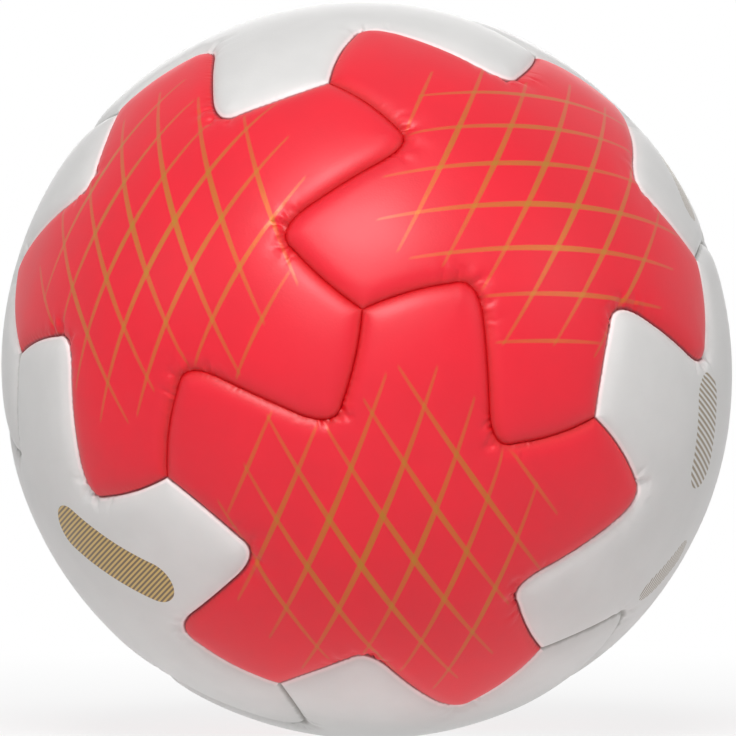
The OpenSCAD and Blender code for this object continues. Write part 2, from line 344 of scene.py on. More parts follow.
@dataclass(frozen=True)
class BallLayout:
    """Radii and angles of the ball, in millimetres and degrees."""

    radius: float = 94.0
    seam_gap: float = 0.2
    cover: float = 1.4
    flange: float = 0.9
    thread_room: float = 1.6
    foam: float = 1.9
    lining: float = 0.9
    glue: float = 0.05
    stitch_depth: float = 2.9
    valve_hole: float = 3.8
    vertex_lift: float = 9.3
    vertex_side: float = -0.7
    vertex_spin: float = 38.1

    @property
    def middle_polar(self) -> float:
        """Angle from a panel's centre to the middle of its edge, in radians."""
        return math.atan(2 / (1 + math.sqrt(5)))

    @property
    def half_edge(self) -> float:
        """Half of the angle that an edge spans, in radians."""
        return math.acos(math.sqrt(5) / 3) / 2

    @property
    def turned_in(self) -> float:
        """How far the inner face of a cover's turned-in edge is from the seam line."""
        return self.seam_gap / 2 + self.flange

    @property
    def pad_inset(self) -> float:
        """How far the foam and the lining stay from the seam line."""
        return self.turned_in + self.thread_room

    @property
    def foam_out(self) -> float:
        """Outer radius of the foam."""
        return self.radius - self.cover - self.glue

    @property
    def lining_out(self) -> float:
        """Outer radius of the lining."""
        return self.foam_out - self.foam - self.glue

    @property
    def lining_in(self) -> float:
        """Inner radius of the lining, where the covers' edges end too."""
        return self.lining_out - self.lining

    def place(self, panel: Panel) -> Array:
        """Finds a panel's place.

        Args:
            panel: The panel.

        Returns:
            The rotation from the panel's own frame, round +Z, to the ball's frame.
        """
        edges, azimuth, behind = panel.ring.value
        vertex = math.acos(math.cos(self.middle_polar) * math.cos(self.half_edge))
        polar = math.degrees(vertex + 2 * edges * self.half_edge)
        return (turned("Z", self.vertex_side) @ turned("X", 90 - self.vertex_lift)
                @ turned("Z", self.vertex_spin + azimuth + 120 * panel.value[1])
                @ turned("Y", 180 - polar if behind else polar) @ turned("Z", 180 if behind else 0))


@dataclass(frozen=True)
class SeamLine:
    """The stretched S that every seam follows along its edge, in millimetres.

    Each half runs from a vertex along a bowed leg, round a bend, to the edge's middle. The
    fineness is how many points a leg, a bend, or an edge of a measured outline has.
    """

    layout: BallLayout = BallLayout()
    bend_along: float = 10.2
    bend_out: float = 19.7
    cut_outer: float = 7.2
    cut_inner: float = 12.0
    leg_bow: float = 0.9
    fineness: int = 120
    gap_fineness: int = 200
    tangent_reach: float = 0.05
    softness: float = 3.5

    @property
    def bend(self) -> Array:
        """The corner that the bend rounds off."""
        return np.array([-self.bend_along, self.bend_out])

    def half(self) -> Array:
        """Draws the first half of the seam.

        Returns:
            Points from the vertex to the place where the straight middle starts.
        """
        start = np.array([-self.layout.half_edge * self.layout.radius, 0.0])
        leg = unit(self.bend - start)
        side = np.array([-leg[1], leg[0]])
        leg_end = self.bend - self.cut_outer * leg
        middle = self.bend - self.cut_inner * unit(self.bend)
        f = np.linspace(0, 1, self.fineness)[:, None]
        on_leg = start + f * (leg_end - start) + 4 * f * (1 - f) * self.leg_bow * side
        on_bend = (1 - f) ** 2 * leg_end + 2 * f * (1 - f) * self.bend + f * f * middle
        return np.concatenate([on_leg, on_bend[1:]])

    def whole(self) -> tuple[Array, Array]:
        """Draws the whole seam, whose second half is the first one turned half round.

        Returns:
            The seam's points, and the length that each has from the start.
        """
        half = self.half()
        points = np.concatenate([half, -half[::-1]])
        return points, lengths_along(points)

    @property
    def length(self) -> float:
        """Length of the whole seam."""
        return self.whole()[1][-1]

    def at(self, stations: Array) -> tuple[Array, Array]:
        """Finds places along the seam.

        Args:
            stations: Lengths from the seam's start.

        Returns:
            The points there, and the directions across the seam.
        """
        points, lengths = self.whole()
        before, here, after = (
            np.stack([np.interp(stations + moved, lengths, points[:, i]) for i in (0, 1)], 1)
            for moved in (-self.tangent_reach, 0.0, self.tangent_reach))
        way = unit(after - before)
        return here, np.stack([-way[:, 1], way[:, 0]], 1)

    def direction(self, points: Array, edge: int) -> Array:
        """Bends points round the ball.

        Args:
            points: Lengths along and across an edge.
            edge: The edge's number on the panel.

        Returns:
            Unit vectors in the panel's frame.
        """
        azimuth = math.pi + (edge + 0.5) * TURN / ARMS
        a, b = points[:, :1] / self.layout.radius, points[:, 1:] / self.layout.radius
        polar = self.layout.middle_polar
        outward = np.array([math.cos(azimuth), math.sin(azimuth), 0.0])
        middle = math.sin(polar) * outward + np.array([0.0, 0.0, math.cos(polar)])
        along = np.array([-math.sin(azimuth), math.cos(azimuth), 0.0])
        return np.cos(b) * (np.cos(a) * middle + np.sin(a) * along) + np.sin(b) * np.cross(middle, along)

    def outline(self, inset: float, per_edge: int) -> Array:
        """Draws a closed ring inside the panel, at a distance from its seams.

        Args:
            inset: Distance from the seam line.
            per_edge: How many points each edge gives.

        Returns:
            Places on the flat panel.
        """
        trim = inset * MITRE
        here, across = self.at(np.linspace(trim, self.length - trim, per_edge + 1))
        rings = [self.direction(here + inset * across, k) for k in range(ARMS)]
        corners = [unit(rings[k][0] + rings[k - 1][-1])[None] for k in range(ARMS)]
        return self.flat(np.concatenate([part for k in range(ARMS) for part in (corners[k], rings[k][1:-1])]))

    def gaps(self, places: Array, inset: float) -> tuple[Array, Array, Array]:
        """Measures how far flat places are from the panel's inset outline.

        Args:
            places: Places on the flat panel.
            inset: Distance of the outline from the seam lines.

        Returns:
            The distances, rounded where two edges are near, the length along the nearest seam,
            and the nearest edge's number.
        """
        count = self.gap_fineness
        line = self.outline(inset, count)
        found = [along_line(places, np.take(line, range(count * k, count * (k + 1) + 1), 0, mode="wrap"))
                 for k in range(ARMS)]
        far, share = (np.stack([f[i] for f in found]) for i in (0, 1))
        far = np.maximum(far, 1e-4)
        best = far.argmin(0)
        rounded = (far ** -self.softness).sum(0) ** (-1 / self.softness)
        return rounded, np.take_along_axis(share, best[None], 0)[0] * self.length, best

    def neighbours(self, panel: Panel) -> list[Panel]:
        """Finds what lies round a panel.

        Args:
            panel: The panel.

        Returns:
            The panels across its five edges.
        """
        middles = [self.layout.place(panel) @ self.direction(np.zeros((1, 2)), k)[0] for k in range(ARMS)]
        centres = {other: self.layout.place(other)[:, 2] for other in Panel if other is not panel}
        return [max(centres, key=lambda other: float(centres[other] @ middle)) for middle in middles]

    def notches(self) -> Array:
        """Finds the bends that cut into the panel.

        Returns:
            Their flat places, one for each edge.
        """
        half = self.half()
        nearest = half[np.argmin(np.linalg.norm(half - self.bend, axis=1))][None]
        return self.flat(np.concatenate([self.direction(nearest, k) for k in range(ARMS)]))

    def flat(self, directions: Array) -> Array:
        """Lays unit vectors flat.

        Args:
            directions: Unit vectors in the panel's frame.

        Returns:
            Places on the flat panel, at their arc lengths from its middle.
        """
        polar = np.arccos(np.clip(directions[:, 2], -1, 1))
        stretch = self.layout.radius * polar / np.maximum(np.sin(polar), 1e-9)
        return directions[:, :2] * stretch[:, None]

    def raised(self, places: Array) -> Array:
        """Bends flat places round the ball.

        Args:
            places: Places on the flat panel.

        Returns:
            Unit vectors in the panel's frame.
        """
        reach = np.linalg.norm(places, axis=1)
        polar = reach / self.layout.radius
        side = places / np.maximum(reach, 1e-9)[:, None]
        return np.column_stack([side * np.sin(polar)[:, None], np.cos(polar)])


def lengths_along(line: Array) -> Array:
    """Returns the length that each corner of an open line has from its start."""
    return np.concatenate([[0], np.cumsum(np.linalg.norm(np.diff(line, axis=0), axis=1))])


def inside(points: Array, loop: Array) -> Array:
    """Tells which points lie within a closed loop.

    Args:
        points: Places on the flat panel.
        loop: Corners of the loop.

    Returns:
        One truth value a point.
    """
    x, y = points[:, :1], points[:, 1:]
    x0, y0 = loop.T
    x1, y1 = np.roll(loop, -1, 0).T
    rise = np.where(y1 == y0, 1e-12, y1 - y0)
    crossed = ((y0 > y) != (y1 > y)) & (x < (x1 - x0) * (y - y0) / rise + x0)
    return crossed.sum(1) % 2 == 1


def triangles(points: Array, loops: Sequence[Array]) -> Array:
    """Fills the area between loops with triangles that use all the points.

    Args:
        points: Places on the flat panel.
        loops: Indices of each closed loop, the outer one first.

    Returns:
        Three indices a triangle, counter-clockwise.
    """
    edges = [(int(a), int(b)) for loop in loops for a, b in zip(loop, np.roll(loop, -1))]
    found = delaunay_2d_cdt([Vector(p) for p in points], edges, [], 0, 1e-7, False)
    faces = np.array([list(f) for f in found[2]])
    doubtful = np.isin(faces, np.concatenate(loops)).all(1)
    middles = points[faces[doubtful]].mean(1)
    keep = np.ones(len(faces), bool)
    keep[doubtful] = inside(middles, points[loops[0]])
    for hole in loops[1:]:
        keep[doubtful] &= ~inside(middles, points[hole])
    faces = faces[keep]
    a, b, c = (points[faces[:, i]] for i in range(3))
    turn = (b - a)[:, 0] * (c - a)[:, 1] - (b - a)[:, 1] * (c - a)[:, 0]
    faces[turn < 0] = faces[turn < 0][:, ::-1]
    return faces


def grid_points(loop: Array, step: float, clear: float, hole: float) -> Array:
    """Spreads points evenly over the inside of a loop.

    Args:
        loop: Corners of the loop on the flat panel.
        step: Distance from point to point.
        clear: Least distance from the loop.
        hole: Radius round the middle that is left free.

    Returns:
        The points.
    """
    reach = np.abs(loop).max()
    rows = np.arange(-reach, reach, step * math.sqrt(3) / 2)
    columns = np.arange(-reach, reach, step)
    points = np.array([(x + (i % 2) * step / 2, y) for i, y in enumerate(rows) for x in columns])
    points = points[inside(points, loop)]
    return points[(distances(points, loop) > clear) & (np.linalg.norm(points, axis=1) > hole)]


def along_line(points: Array, line: Array) -> tuple[Array, Array]:
    """Measures how far points are from an open line.

    Args:
        points: Places on the flat panel.
        line: Corners of the line.

    Returns:
        Each point's distance, and the share of the line's length where it is nearest.
    """
    lengths = lengths_along(line)
    closest = ((points[:, None] - line[None]) ** 2).sum(2).argmin(1)
    best, where = np.full(len(points), np.inf), np.zeros(len(points))
    for step in (-1, 0):
        first = np.clip(closest + step, 0, len(line) - 2)
        a, way = line[first], line[first + 1] - line[first]
        share = np.clip(((points - a) * way).sum(1) / (way ** 2).sum(1), 0, 1)
        far = np.linalg.norm(points - a - share[:, None] * way, axis=1)
        where = np.where(far < best, lengths[first] + share * (lengths[first + 1] - lengths[first]), where)
        best = np.minimum(best, far)
    return best, where / lengths[-1]


def distances(points: Array, others: Array) -> Array:
    """Measures how far points are from the nearest of the others.

    Args:
        points: Places on the flat panel.
        others: The places that they are measured to.

    Returns:
        One distance a point.
    """
    tree = KDTree(len(others))
    for i, (x, y) in enumerate(others):
        tree.insert((x, y, 0), i)
    tree.balance()
    return np.array([tree.find((x, y, 0))[2] for x, y in points])


@dataclass
class Skin:
    """Raw mesh of a panel's layer in the panel's frame, in millimetres."""

    points: Array
    faces: list[Sequence[int]]
    plane: Array
    edge: Array
    attributes: dict[str, Array]


@dataclass(frozen=True)
class LayerSizes:
    """How a panel's layer is meshed: its radii, its edge and how fine it is, in millimetres.

    Each ring of the wall has its distance from the seam line, its radius and how much it
    follows the drop of the skin above it. Each row beside the outline has its distance from it
    and its number of points an edge. The lip rounds the valve's hole, and each of its rings has
    its distance from the hole's wall and its depth.
    """

    outer_radius: float
    inner_radius: float
    inset: float
    wall: tuple[tuple[float, float, float], ...]
    per_edge: int
    rows: tuple[tuple[float, int], ...]
    inner_rows: tuple[tuple[float, int], ...]
    step: float
    coarse: float
    hole: float
    lip: tuple[Pair, ...] = ((0.35, 0.0), (0.12, 0.1), (0.0, 0.4))
    outline_fineness: int = 320
    clear_share: float = 0.6
    row_share: float = 0.93
    row_slack: float = 0.05
    notch_reach: float = 7.0


@dataclass(frozen=True)
class LayerMesher:
    """Meshes one layer of a panel, within the seam line, as a closed shell."""

    seam: SeamLine
    sizes: LayerSizes

    def fill(self, inset: float, rows: Sequence[tuple[float, int]], step: float, hole: float,
             lip: float) -> tuple[Array, Array]:
        """Spreads flat places over a skin and joins them.

        Args:
            inset: Distance of the skin's outline from the seam lines.
            rows: Distances of the rows beside the outline, with how many points each edge gives.
            step: Distance between the points of the rest.
            hole: Radius of the hole in the middle, or 0.
            lip: How much wider the skin's own hole is.

        Returns:
            The places, those of the outline first and those of the hole last, and the triangles.
        """
        s, last = self.sizes, 0.0
        outline = self.seam.outline(inset, s.outline_fineness)
        parts = [self.seam.outline(inset, s.per_edge)]
        for depth, per_edge in rows:
            row = self.seam.outline(inset + depth, per_edge)
            parts.append(row[distances(row, outline) > s.row_share * depth - s.row_slack])
            last = depth
        clear = s.clear_share * step
        parts.append(grid_points(outline, step, last + clear, hole + clear if hole else 0.0))
        loops = [np.arange(ARMS * s.per_edge)]
        if hole:
            loops.append(sum(map(len, parts)) + np.arange(RIM_POINTS))
            parts.append((hole + lip) * self.circle())
        places = np.concatenate(parts)
        return places, triangles(places, loops)

    @staticmethod
    def circle() -> Array:
        """Returns the points of a circle of radius 1."""
        angles = np.linspace(0, TURN, RIM_POINTS, endpoint=False)
        return np.column_stack([np.cos(angles), np.sin(angles)])

    def build(self, with_hole: bool) -> Skin:
        """Builds the shell.

        Args:
            with_hole: Whether the valve's hole goes through the middle.

        Returns:
            The shell with what the materials and the form need to know of each point.
        """
        s, layers = self.sizes, []
        hole = s.hole if with_hole else 0.0
        count = ARMS * s.per_edge

        def add(places: Array, radius: float, outer: float, follow: float) -> int:
            """Keeps a layer of points and returns the index of its first one."""
            layers.append((places, (radius, outer, follow)))
            return sum(len(layer[0]) for layer in layers[:-1])

        places, found = self.fill(s.inset, s.rows, s.step, hole, s.lip[0][0])
        faces = [tuple(f) for f in found]
        rims = [add(places, s.outer_radius, 1.0, 1.0) + len(places) - RIM_POINTS]
        if hole:
            for wide, deep in s.lip[1:]:
                rims.append(add((hole + wide) * self.circle(), s.outer_radius - deep, 1.0, 1.0))
        # The wall goes down from the outline, and a cover's also runs in and comes back up
        previous = 0
        for inset, radius, follow in s.wall:
            here = add(self.seam.outline(inset, s.per_edge), radius, 0.0, follow)
            faces += strip(here, previous, count)
            previous = here
        places, found = self.fill(s.wall[-1][0], s.inner_rows, s.coarse, hole, 0.0)
        base = add(places[count:], s.inner_radius, 0.0, s.wall[-1][2])
        index = np.concatenate([previous + np.arange(count), base + np.arange(len(places) - count)])
        faces += [tuple(index[f[::-1]]) for f in found]
        if hole:
            rims.append(index[-RIM_POINTS])
            for first, second in zip(rims, rims[1:]):
                faces += strip(first, second, RIM_POINTS)
        plane = np.concatenate([layer[0] for layer in layers])
        lengths = [len(layer[0]) for layer in layers]
        radii, outer, follow = np.repeat([layer[1] for layer in layers], lengths, 0).T
        gaps, stations, edges = self.seam.gaps(plane, s.inset)
        gaps[:count] = 0.0
        notch = np.exp(-(distances(plane, self.seam.notches()) / s.notch_reach) ** 2)
        attributes = {"edge_gap": gaps * MM, "station": stations * MM, "notch": notch, "outer": outer,
                      "follow": follow}
        return Skin(self.seam.raised(plane) * radii[:, None], faces, plane, edges, attributes)


def strip(first: int, second: int, count: int) -> list[tuple[int, ...]]:
    """Joins two closed rings of points.

    Args:
        first: Index of the first ring's first point.
        second: Index of the second ring's first point.
        count: How many points each ring has.

    Returns:
        The four-sided faces between them.
    """
    steps = [(i, (i + 1) % count) for i in range(count)]
    return [(first + j, second + j, second + i, first + i) for i, j in steps]


def mesh_from(name: str, skin: Skin, place: Array, printing: PrintPlace,
              border: Sequence[float] = (0.0,) * ARMS) -> bpy.types.Object:
    """Makes an object of a layer in its place on the ball.

    Args:
        name: The object's name.
        skin: The raw layer.
        place: Rotation from the panel's frame to the ball's.
        printing: Where the print lies on the panel.
        border: 1 for each edge across which the leather has another colour.

    Returns:
        The object, with its attributes and its two maps.
    """
    mesh = bpy.data.meshes.new(name)
    mesh.from_pydata((skin.points @ place.T * MM).tolist(), [], skin.faces)
    for label, values in (skin.attributes | {"border": np.array(border)[skin.edge]}).items():
        mesh.attributes.new(label, "FLOAT", "POINT").data.foreach_set("value", values.astype(np.float32))
    corners = np.empty(len(mesh.loops), np.int32)
    mesh.loops.foreach_get("vertex_index", corners)
    plane = 0.5 + printing.map(skin.plane) / PLANE_SPAN
    outer = skin.attributes["outer"][corners, None] > 0.5
    share = skin.plane[corners] / (np.abs(skin.plane).max() * BAKE_SPAN)
    baked = np.where(outer, 0.5 + share, PATCH_MIDDLE + PATCH_SHARE * share)
    for label, values in ((PLANE_MAP, plane[corners]), (BAKE_MAP, baked)):
        mesh.uv_layers.new(name=label).uv.foreach_set("vector", values.astype(np.float32).ravel())
    mesh.shade_smooth()
    return stand(name, mesh)


# Geometry Nodes: the form of a sewn cover, a pressed pad and a seam's thread


class NodeGroup:
    """A node tree with named sockets, built once and used by several pieces or materials.

    Each kind names its inputs with their values, which are a number, three numbers, or the
    type of a socket without a value.
    """

    tree_type = "ShaderNodeTree"
    output_type = "NodeSocketFloat"
    name: str
    inputs: dict[str, Any]
    outputs: tuple[str, ...]

    def __init__(self) -> None:
        """Makes the tree with its sockets and its nodes."""
        self.tree = bpy.data.node_groups.new(self.name, self.tree_type)
        self.keys: dict[str, str] = {}
        for label, value in self.inputs.items():
            kind = {float: "NodeSocketFloat", tuple: "NodeSocketVector"}.get(type(value), value)
            socket = self.tree.interface.new_socket(label, in_out="INPUT", socket_type=kind)
            if kind != value:
                socket.default_value = value
            self.keys[label] = socket.identifier
        for label in self.outputs:
            self.tree.interface.new_socket(label, in_out="OUTPUT", socket_type=self.output_type)
        self.wires = Wiring(self.tree)
        self.source = self.tree.nodes.new("NodeGroupInput")
        self.wire()

    def wire(self) -> None:
        """Adds the group's own nodes."""
        raise NotImplementedError

    def __getitem__(self, label: str) -> Wire:
        """Returns the wire of a named input."""
        return Wire(self.wires, self.source.outputs[label])

    def give(self, **outputs: Wire) -> None:
        """Links the group's outputs."""
        self.wires.fill(self.tree.nodes.new("NodeGroupOutput"), **outputs)

    def use(self, wires: Wiring, **inputs: Any) -> dict[str, Wire]:
        """Places a shader group in a material.

        Args:
            wires: The material's wiring.
            **inputs: Its inputs, with _ for a space.

        Returns:
            The wires of its outputs, by name.
        """
        made = wires.tree.nodes.new("ShaderNodeGroup")
        made.node_tree = self.tree
        return {socket.name: Wire(wires, socket) for socket in wires.fill(made, **inputs).outputs}


class FormTree(NodeGroup):
    """A Geometry Nodes tree that shapes pieces."""

    tree_type = "GeometryNodeTree"
    output_type = "NodeSocketGeometry"
    outputs = ("Geometry",)

    def __init__(self) -> None:
        """Makes the tree, with a geometry and a finish beside its sizes."""
        self.values = dict(self.inputs)
        self.inputs = {"Geometry": "NodeSocketGeometry"} | self.values | {"Finish": "NodeSocketMaterial"}
        super().__init__()

    def attribute(self, name: str) -> Wire:
        """Returns the wire that reads one of the mesh's attributes."""
        settings = {"data_type": "FLOAT"}
        return self.wires.out("GeometryNodeInputNamedAttribute", "Attribute", settings, Name=name)

    def end(self, geometry: Wire) -> None:
        """Closes the tree with real instances and the finish.

        Args:
            geometry: The shaped geometry.
        """
        smooth = self.wires.out("GeometryNodeSetShadeSmooth", Geometry=geometry)
        real = self.wires.out("GeometryNodeRealizeInstances", Geometry=smooth)
        self.give(Geometry=self.wires.out("GeometryNodeSetMaterial", Geometry=real, Material=self["Finish"]))

    def shape(self, piece: bpy.types.Object, finish: bpy.types.Material,
              **changed: float) -> bpy.types.Object:
        """Runs the tree on a piece and keeps the result as a plain mesh.

        Args:
            piece: Object whose mesh or curve goes in. It is removed.
            finish: Material that the result wears.
            **changed: Inputs that differ for this piece, with _ for a space.

        Returns:
            A new object of the same name.
        """
        name = piece.name
        modifier = piece.modifiers.new("form", "NODES")
        modifier.node_group = self.tree
        values = self.values | {k.replace("_", " "): v for k, v in changed.items()} | {"Finish": finish}
        for label, value in values.items():
            modifier[self.keys[label]] = value
        graph = bpy.context.evaluated_depsgraph_get()
        mesh = bpy.data.meshes.new_from_object(
            piece.evaluated_get(graph), preserve_all_data_layers=True, depsgraph=graph)
        piece.modifiers.remove(modifier)
        bpy.data.objects.remove(piece)
        mesh.name = name
        return stand(name, mesh)


class PillowForm(FormTree):
    """Draws a layer's skin down towards its seams and puckers it at the stitches."""

    name = "pillow"
    inputs = {
        "Edge Offset": 0.0, "Roll Width": 5.2 * MM, "Roll Depth": 1.9 * MM, "Roll Steepness": 0.955,
        "Crown Width": 13 * MM, "Crown Depth": 0.7 * MM, "Stitch Pitch": 1.9 * MM, "Stitch Drift": 1.1,
        "Pucker Depth": 0.07 * MM, "Pucker Reach": 1.2 * MM, "Gather Depth": 0.4 * MM,
        "Gather Reach": 2.4 * MM, "Fold Pitch": 3.9 * MM, "Fold Depth": 0.75 * MM, "Fold Drift": 0.9,
        "Fold Place": 2.6 * MM, "Fold Sharpness": 2.5, "Swell": 0.25 * MM, "Swell Start": 7 * MM,
        "Out Of Round": 0.6 * MM, "Seed": FIRST_SEED,
    }
    drift_scale, uneven_scale, swell_scale = 300.0, 230.0, 42.0
    uneven_fade, uneven_least, uneven_spread = (0.35, 0.75), 0.3, 1.5
    fold_level = 0.25
    long_way, short_way = (-0.454, 0.0, 0.891), (0.891, 0.0, 0.454)

    def wire(self) -> None:
        """Adds the nodes that lower each point of the skin."""
        w, notch, station = self.wires, self.attribute("notch"), self.attribute("station")
        gap = self.attribute("edge_gap") + self["Edge Offset"]
        position = w.out("GeometryNodeInputPosition")
        steep = (1.0 - w.share(gap, self["Roll Width"])) * self["Roll Steepness"]
        arc = w.math("SQRT", w.math("SUBTRACT", 1.0, steep * steep, clamp=True))
        slope = 1.0 - w.share(gap, self["Crown Width"])
        lowered = self["Roll Depth"] * (1.0 - arc) + self["Crown Depth"] * (slope * slope)
        rough = w.noise(position, self.drift_scale, 1.0, W=self["Seed"])
        cloud = w.noise(position, self.uneven_scale, 0.0, W=self["Seed"])
        uneven = w.fade(cloud, *self.uneven_fade) * self.uneven_spread + self.uneven_least
        stitch = self.wave(station / self["Stitch Pitch"] + (rough - 0.5) * self["Stitch Drift"])
        far = gap / w.blend(notch, self["Pucker Reach"], self["Gather Reach"])
        fall = w.math("EXPONENT", far * far * -1.0)
        pucker = w.blend(notch, self["Pucker Depth"], self["Gather Depth"]) * uneven * (stitch * fall)
        near = gap / self["Fold Place"]
        hump = near * w.math("EXPONENT", 1.0 - near)
        turns = station / self["Fold Pitch"] + rough * self["Fold Drift"]
        valley = self.wave(turns) ** self["Fold Sharpness"] - self.fold_level
        fold = valley * notch * (hump * uneven * self["Fold Depth"])
        swell = (w.noise(position, self.swell_scale, 1.0, W=self["Seed"]) - 0.5) * (
            self["Swell"] * w.fade(gap, 0.0, self["Swell Start"]))
        ray = w.vector("NORMALIZE", position)
        long, short = (w.vector("DOT_PRODUCT", ray, way) for way in (self.long_way, self.short_way))
        raised = (long * long - short * short) * self["Out Of Round"] + swell
        move = (lowered - raised) * self.attribute("follow") + (pucker + fold) * self.attribute("outer")
        offset = w.vector("SCALE", ray, Scale=move * -1.0)
        self.end(w.out("GeometryNodeSetPosition", Geometry=self["Geometry"], Offset=offset))

    def wave(self, turns: Wire) -> Wire:
        """Returns a wave from 0 to 1 that has one crest a turn."""
        return self.wires.math("COSINE", turns * TURN) * 0.5 + 0.5


class ThreadForm(FormTree):
    """Sews a strand from side to side along a seam's centre line."""

    name = "seam_thread"
    inputs = {"Stitch Pitch": 1.9 * MM, "Reach": 1.8 * MM, "Strand Radius": 0.36 * MM,
              "Turn Radius": 0.3 * MM}
    sides = 6

    def wire(self) -> None:
        """Adds the nodes that move every other pair of points to the other side."""
        w = self.wires
        even = w.out("GeometryNodeResampleCurve", settings={"mode": "LENGTH"}, Curve=self["Geometry"],
                     Length=self["Stitch Pitch"] * 0.5)
        # Of four points in a row, two lie on one side and two on the other
        place = w.math("MODULO", w.out("GeometryNodeInputIndex") + 1.0, 4.0)
        side = w.math("LESS_THAN", place, 1.5) * 2.0 - 1.0
        ray = w.vector("NORMALIZE", w.out("GeometryNodeInputPosition"))
        across = w.vector("NORMALIZE", w.vector("CROSS_PRODUCT", ray, w.out("GeometryNodeInputTangent")))
        offset = w.vector("SCALE", across, Scale=side * self["Reach"])
        zigzag = w.out("GeometryNodeSetPosition", Geometry=even, Offset=offset)
        rounded = w.out("GeometryNodeFilletCurve", settings={"mode": "POLY"}, Curve=zigzag,
                        Radius=self["Turn Radius"], Count=1)
        circle = w.out("GeometryNodeCurvePrimitiveCircle", settings={"mode": "RADIUS"},
                       Radius=self["Strand Radius"], Resolution=self.sides)
        self.end(w.out("GeometryNodeCurveToMesh", Curve=rounded, Profile_Curve=circle, Fill_Caps=True))


# Shader groups and finishes


class Grain(NodeGroup):
    """Leather's fine pebbles and faint clouds, from object coordinates in metres."""

    name = "leather_grain"
    inputs = {"Place": ORIGIN, "Pebble": 0.5, "Seed": 0.0}
    outputs = ("Height", "Cloud")
    smoothness = 0.6
    finer, finer_share = 2.2, 0.35
    cloud_scale, cloud_detail = 55.0, 3.0

    def wire(self) -> None:
        """Adds the pebbles, finer noise on them, and the clouds."""
        w, place = self.wires, self["Place"]
        scale = 1 / MM / self["Pebble"]
        cells = w.out("ShaderNodeTexVoronoi", "Distance", {"feature": "SMOOTH_F1"},
                      Vector=place, Scale=scale, Smoothness=self.smoothness)
        self.give(Height=w.noise(place, scale * self.finer) * self.finer_share + cells,
                  Cloud=w.noise(place, self.cloud_scale, self.cloud_detail, W=self["Seed"]))


class SeamShade(NodeGroup):
    """Masks for a painted shade along a seam's crease and for a painted rim band beside it, from the distance
    to the cover's edge in metres.
    """

    name = "seam_shade"
    inputs = {"Place": ORIGIN, "Width": 0.8 * MM, "Border Width": 0.6 * MM, "Rim Width": 2 * MM}
    outputs = ("Shade", "Rim", "Outside", "Border")
    rough_scale, rough_least, rough_spread = 420.0, 0.6, 0.8
    notch_spread = 0.5
    shade_start, rim_start = 0.15, 0.2

    def wire(self) -> None:
        """Adds the mask of an uneven painted dark line of shade in the crease, wider at the notches, and the
        mask of the painted rim band, both fading with the distance.
        """
        w = self.wires
        gap, outer, notch, border = (w.out("ShaderNodeAttribute", "Fac", {"attribute_name": name})
                                     for name in ("edge_gap", "outer", "notch", "border"))
        rough = w.noise(self["Place"], self.rough_scale, 1.0) * self.rough_spread + self.rough_least
        wide = w.blend(border, self["Width"], self["Border Width"])
        wide = wide * rough * (notch * self.notch_spread + 1.0)
        # The rim band carries a painted shade on red covers and a painted glow of bounced red light on white
        # ones
        shade, rim = (1.0 - w.fade(gap, width * start, width)
                      for width, start in ((wide, self.shade_start), (self["Rim Width"], self.rim_start)))
        self.give(Shade=shade, Rim=rim, Outside=outer, Border=border)


class PlaneGroup(NodeGroup):
    """A pattern on a panel's flat map."""

    def from_point(self, start: Any) -> Wire:
        """Returns the place on the panel, in millimetres from the given point."""
        centred = self.wires.vector("SUBTRACT", self["Plane"], MAP_MIDDLE)
        return self.wires.vector("SUBTRACT", self.wires.vector("SCALE", centred, Scale=PLANE_SPAN), start)


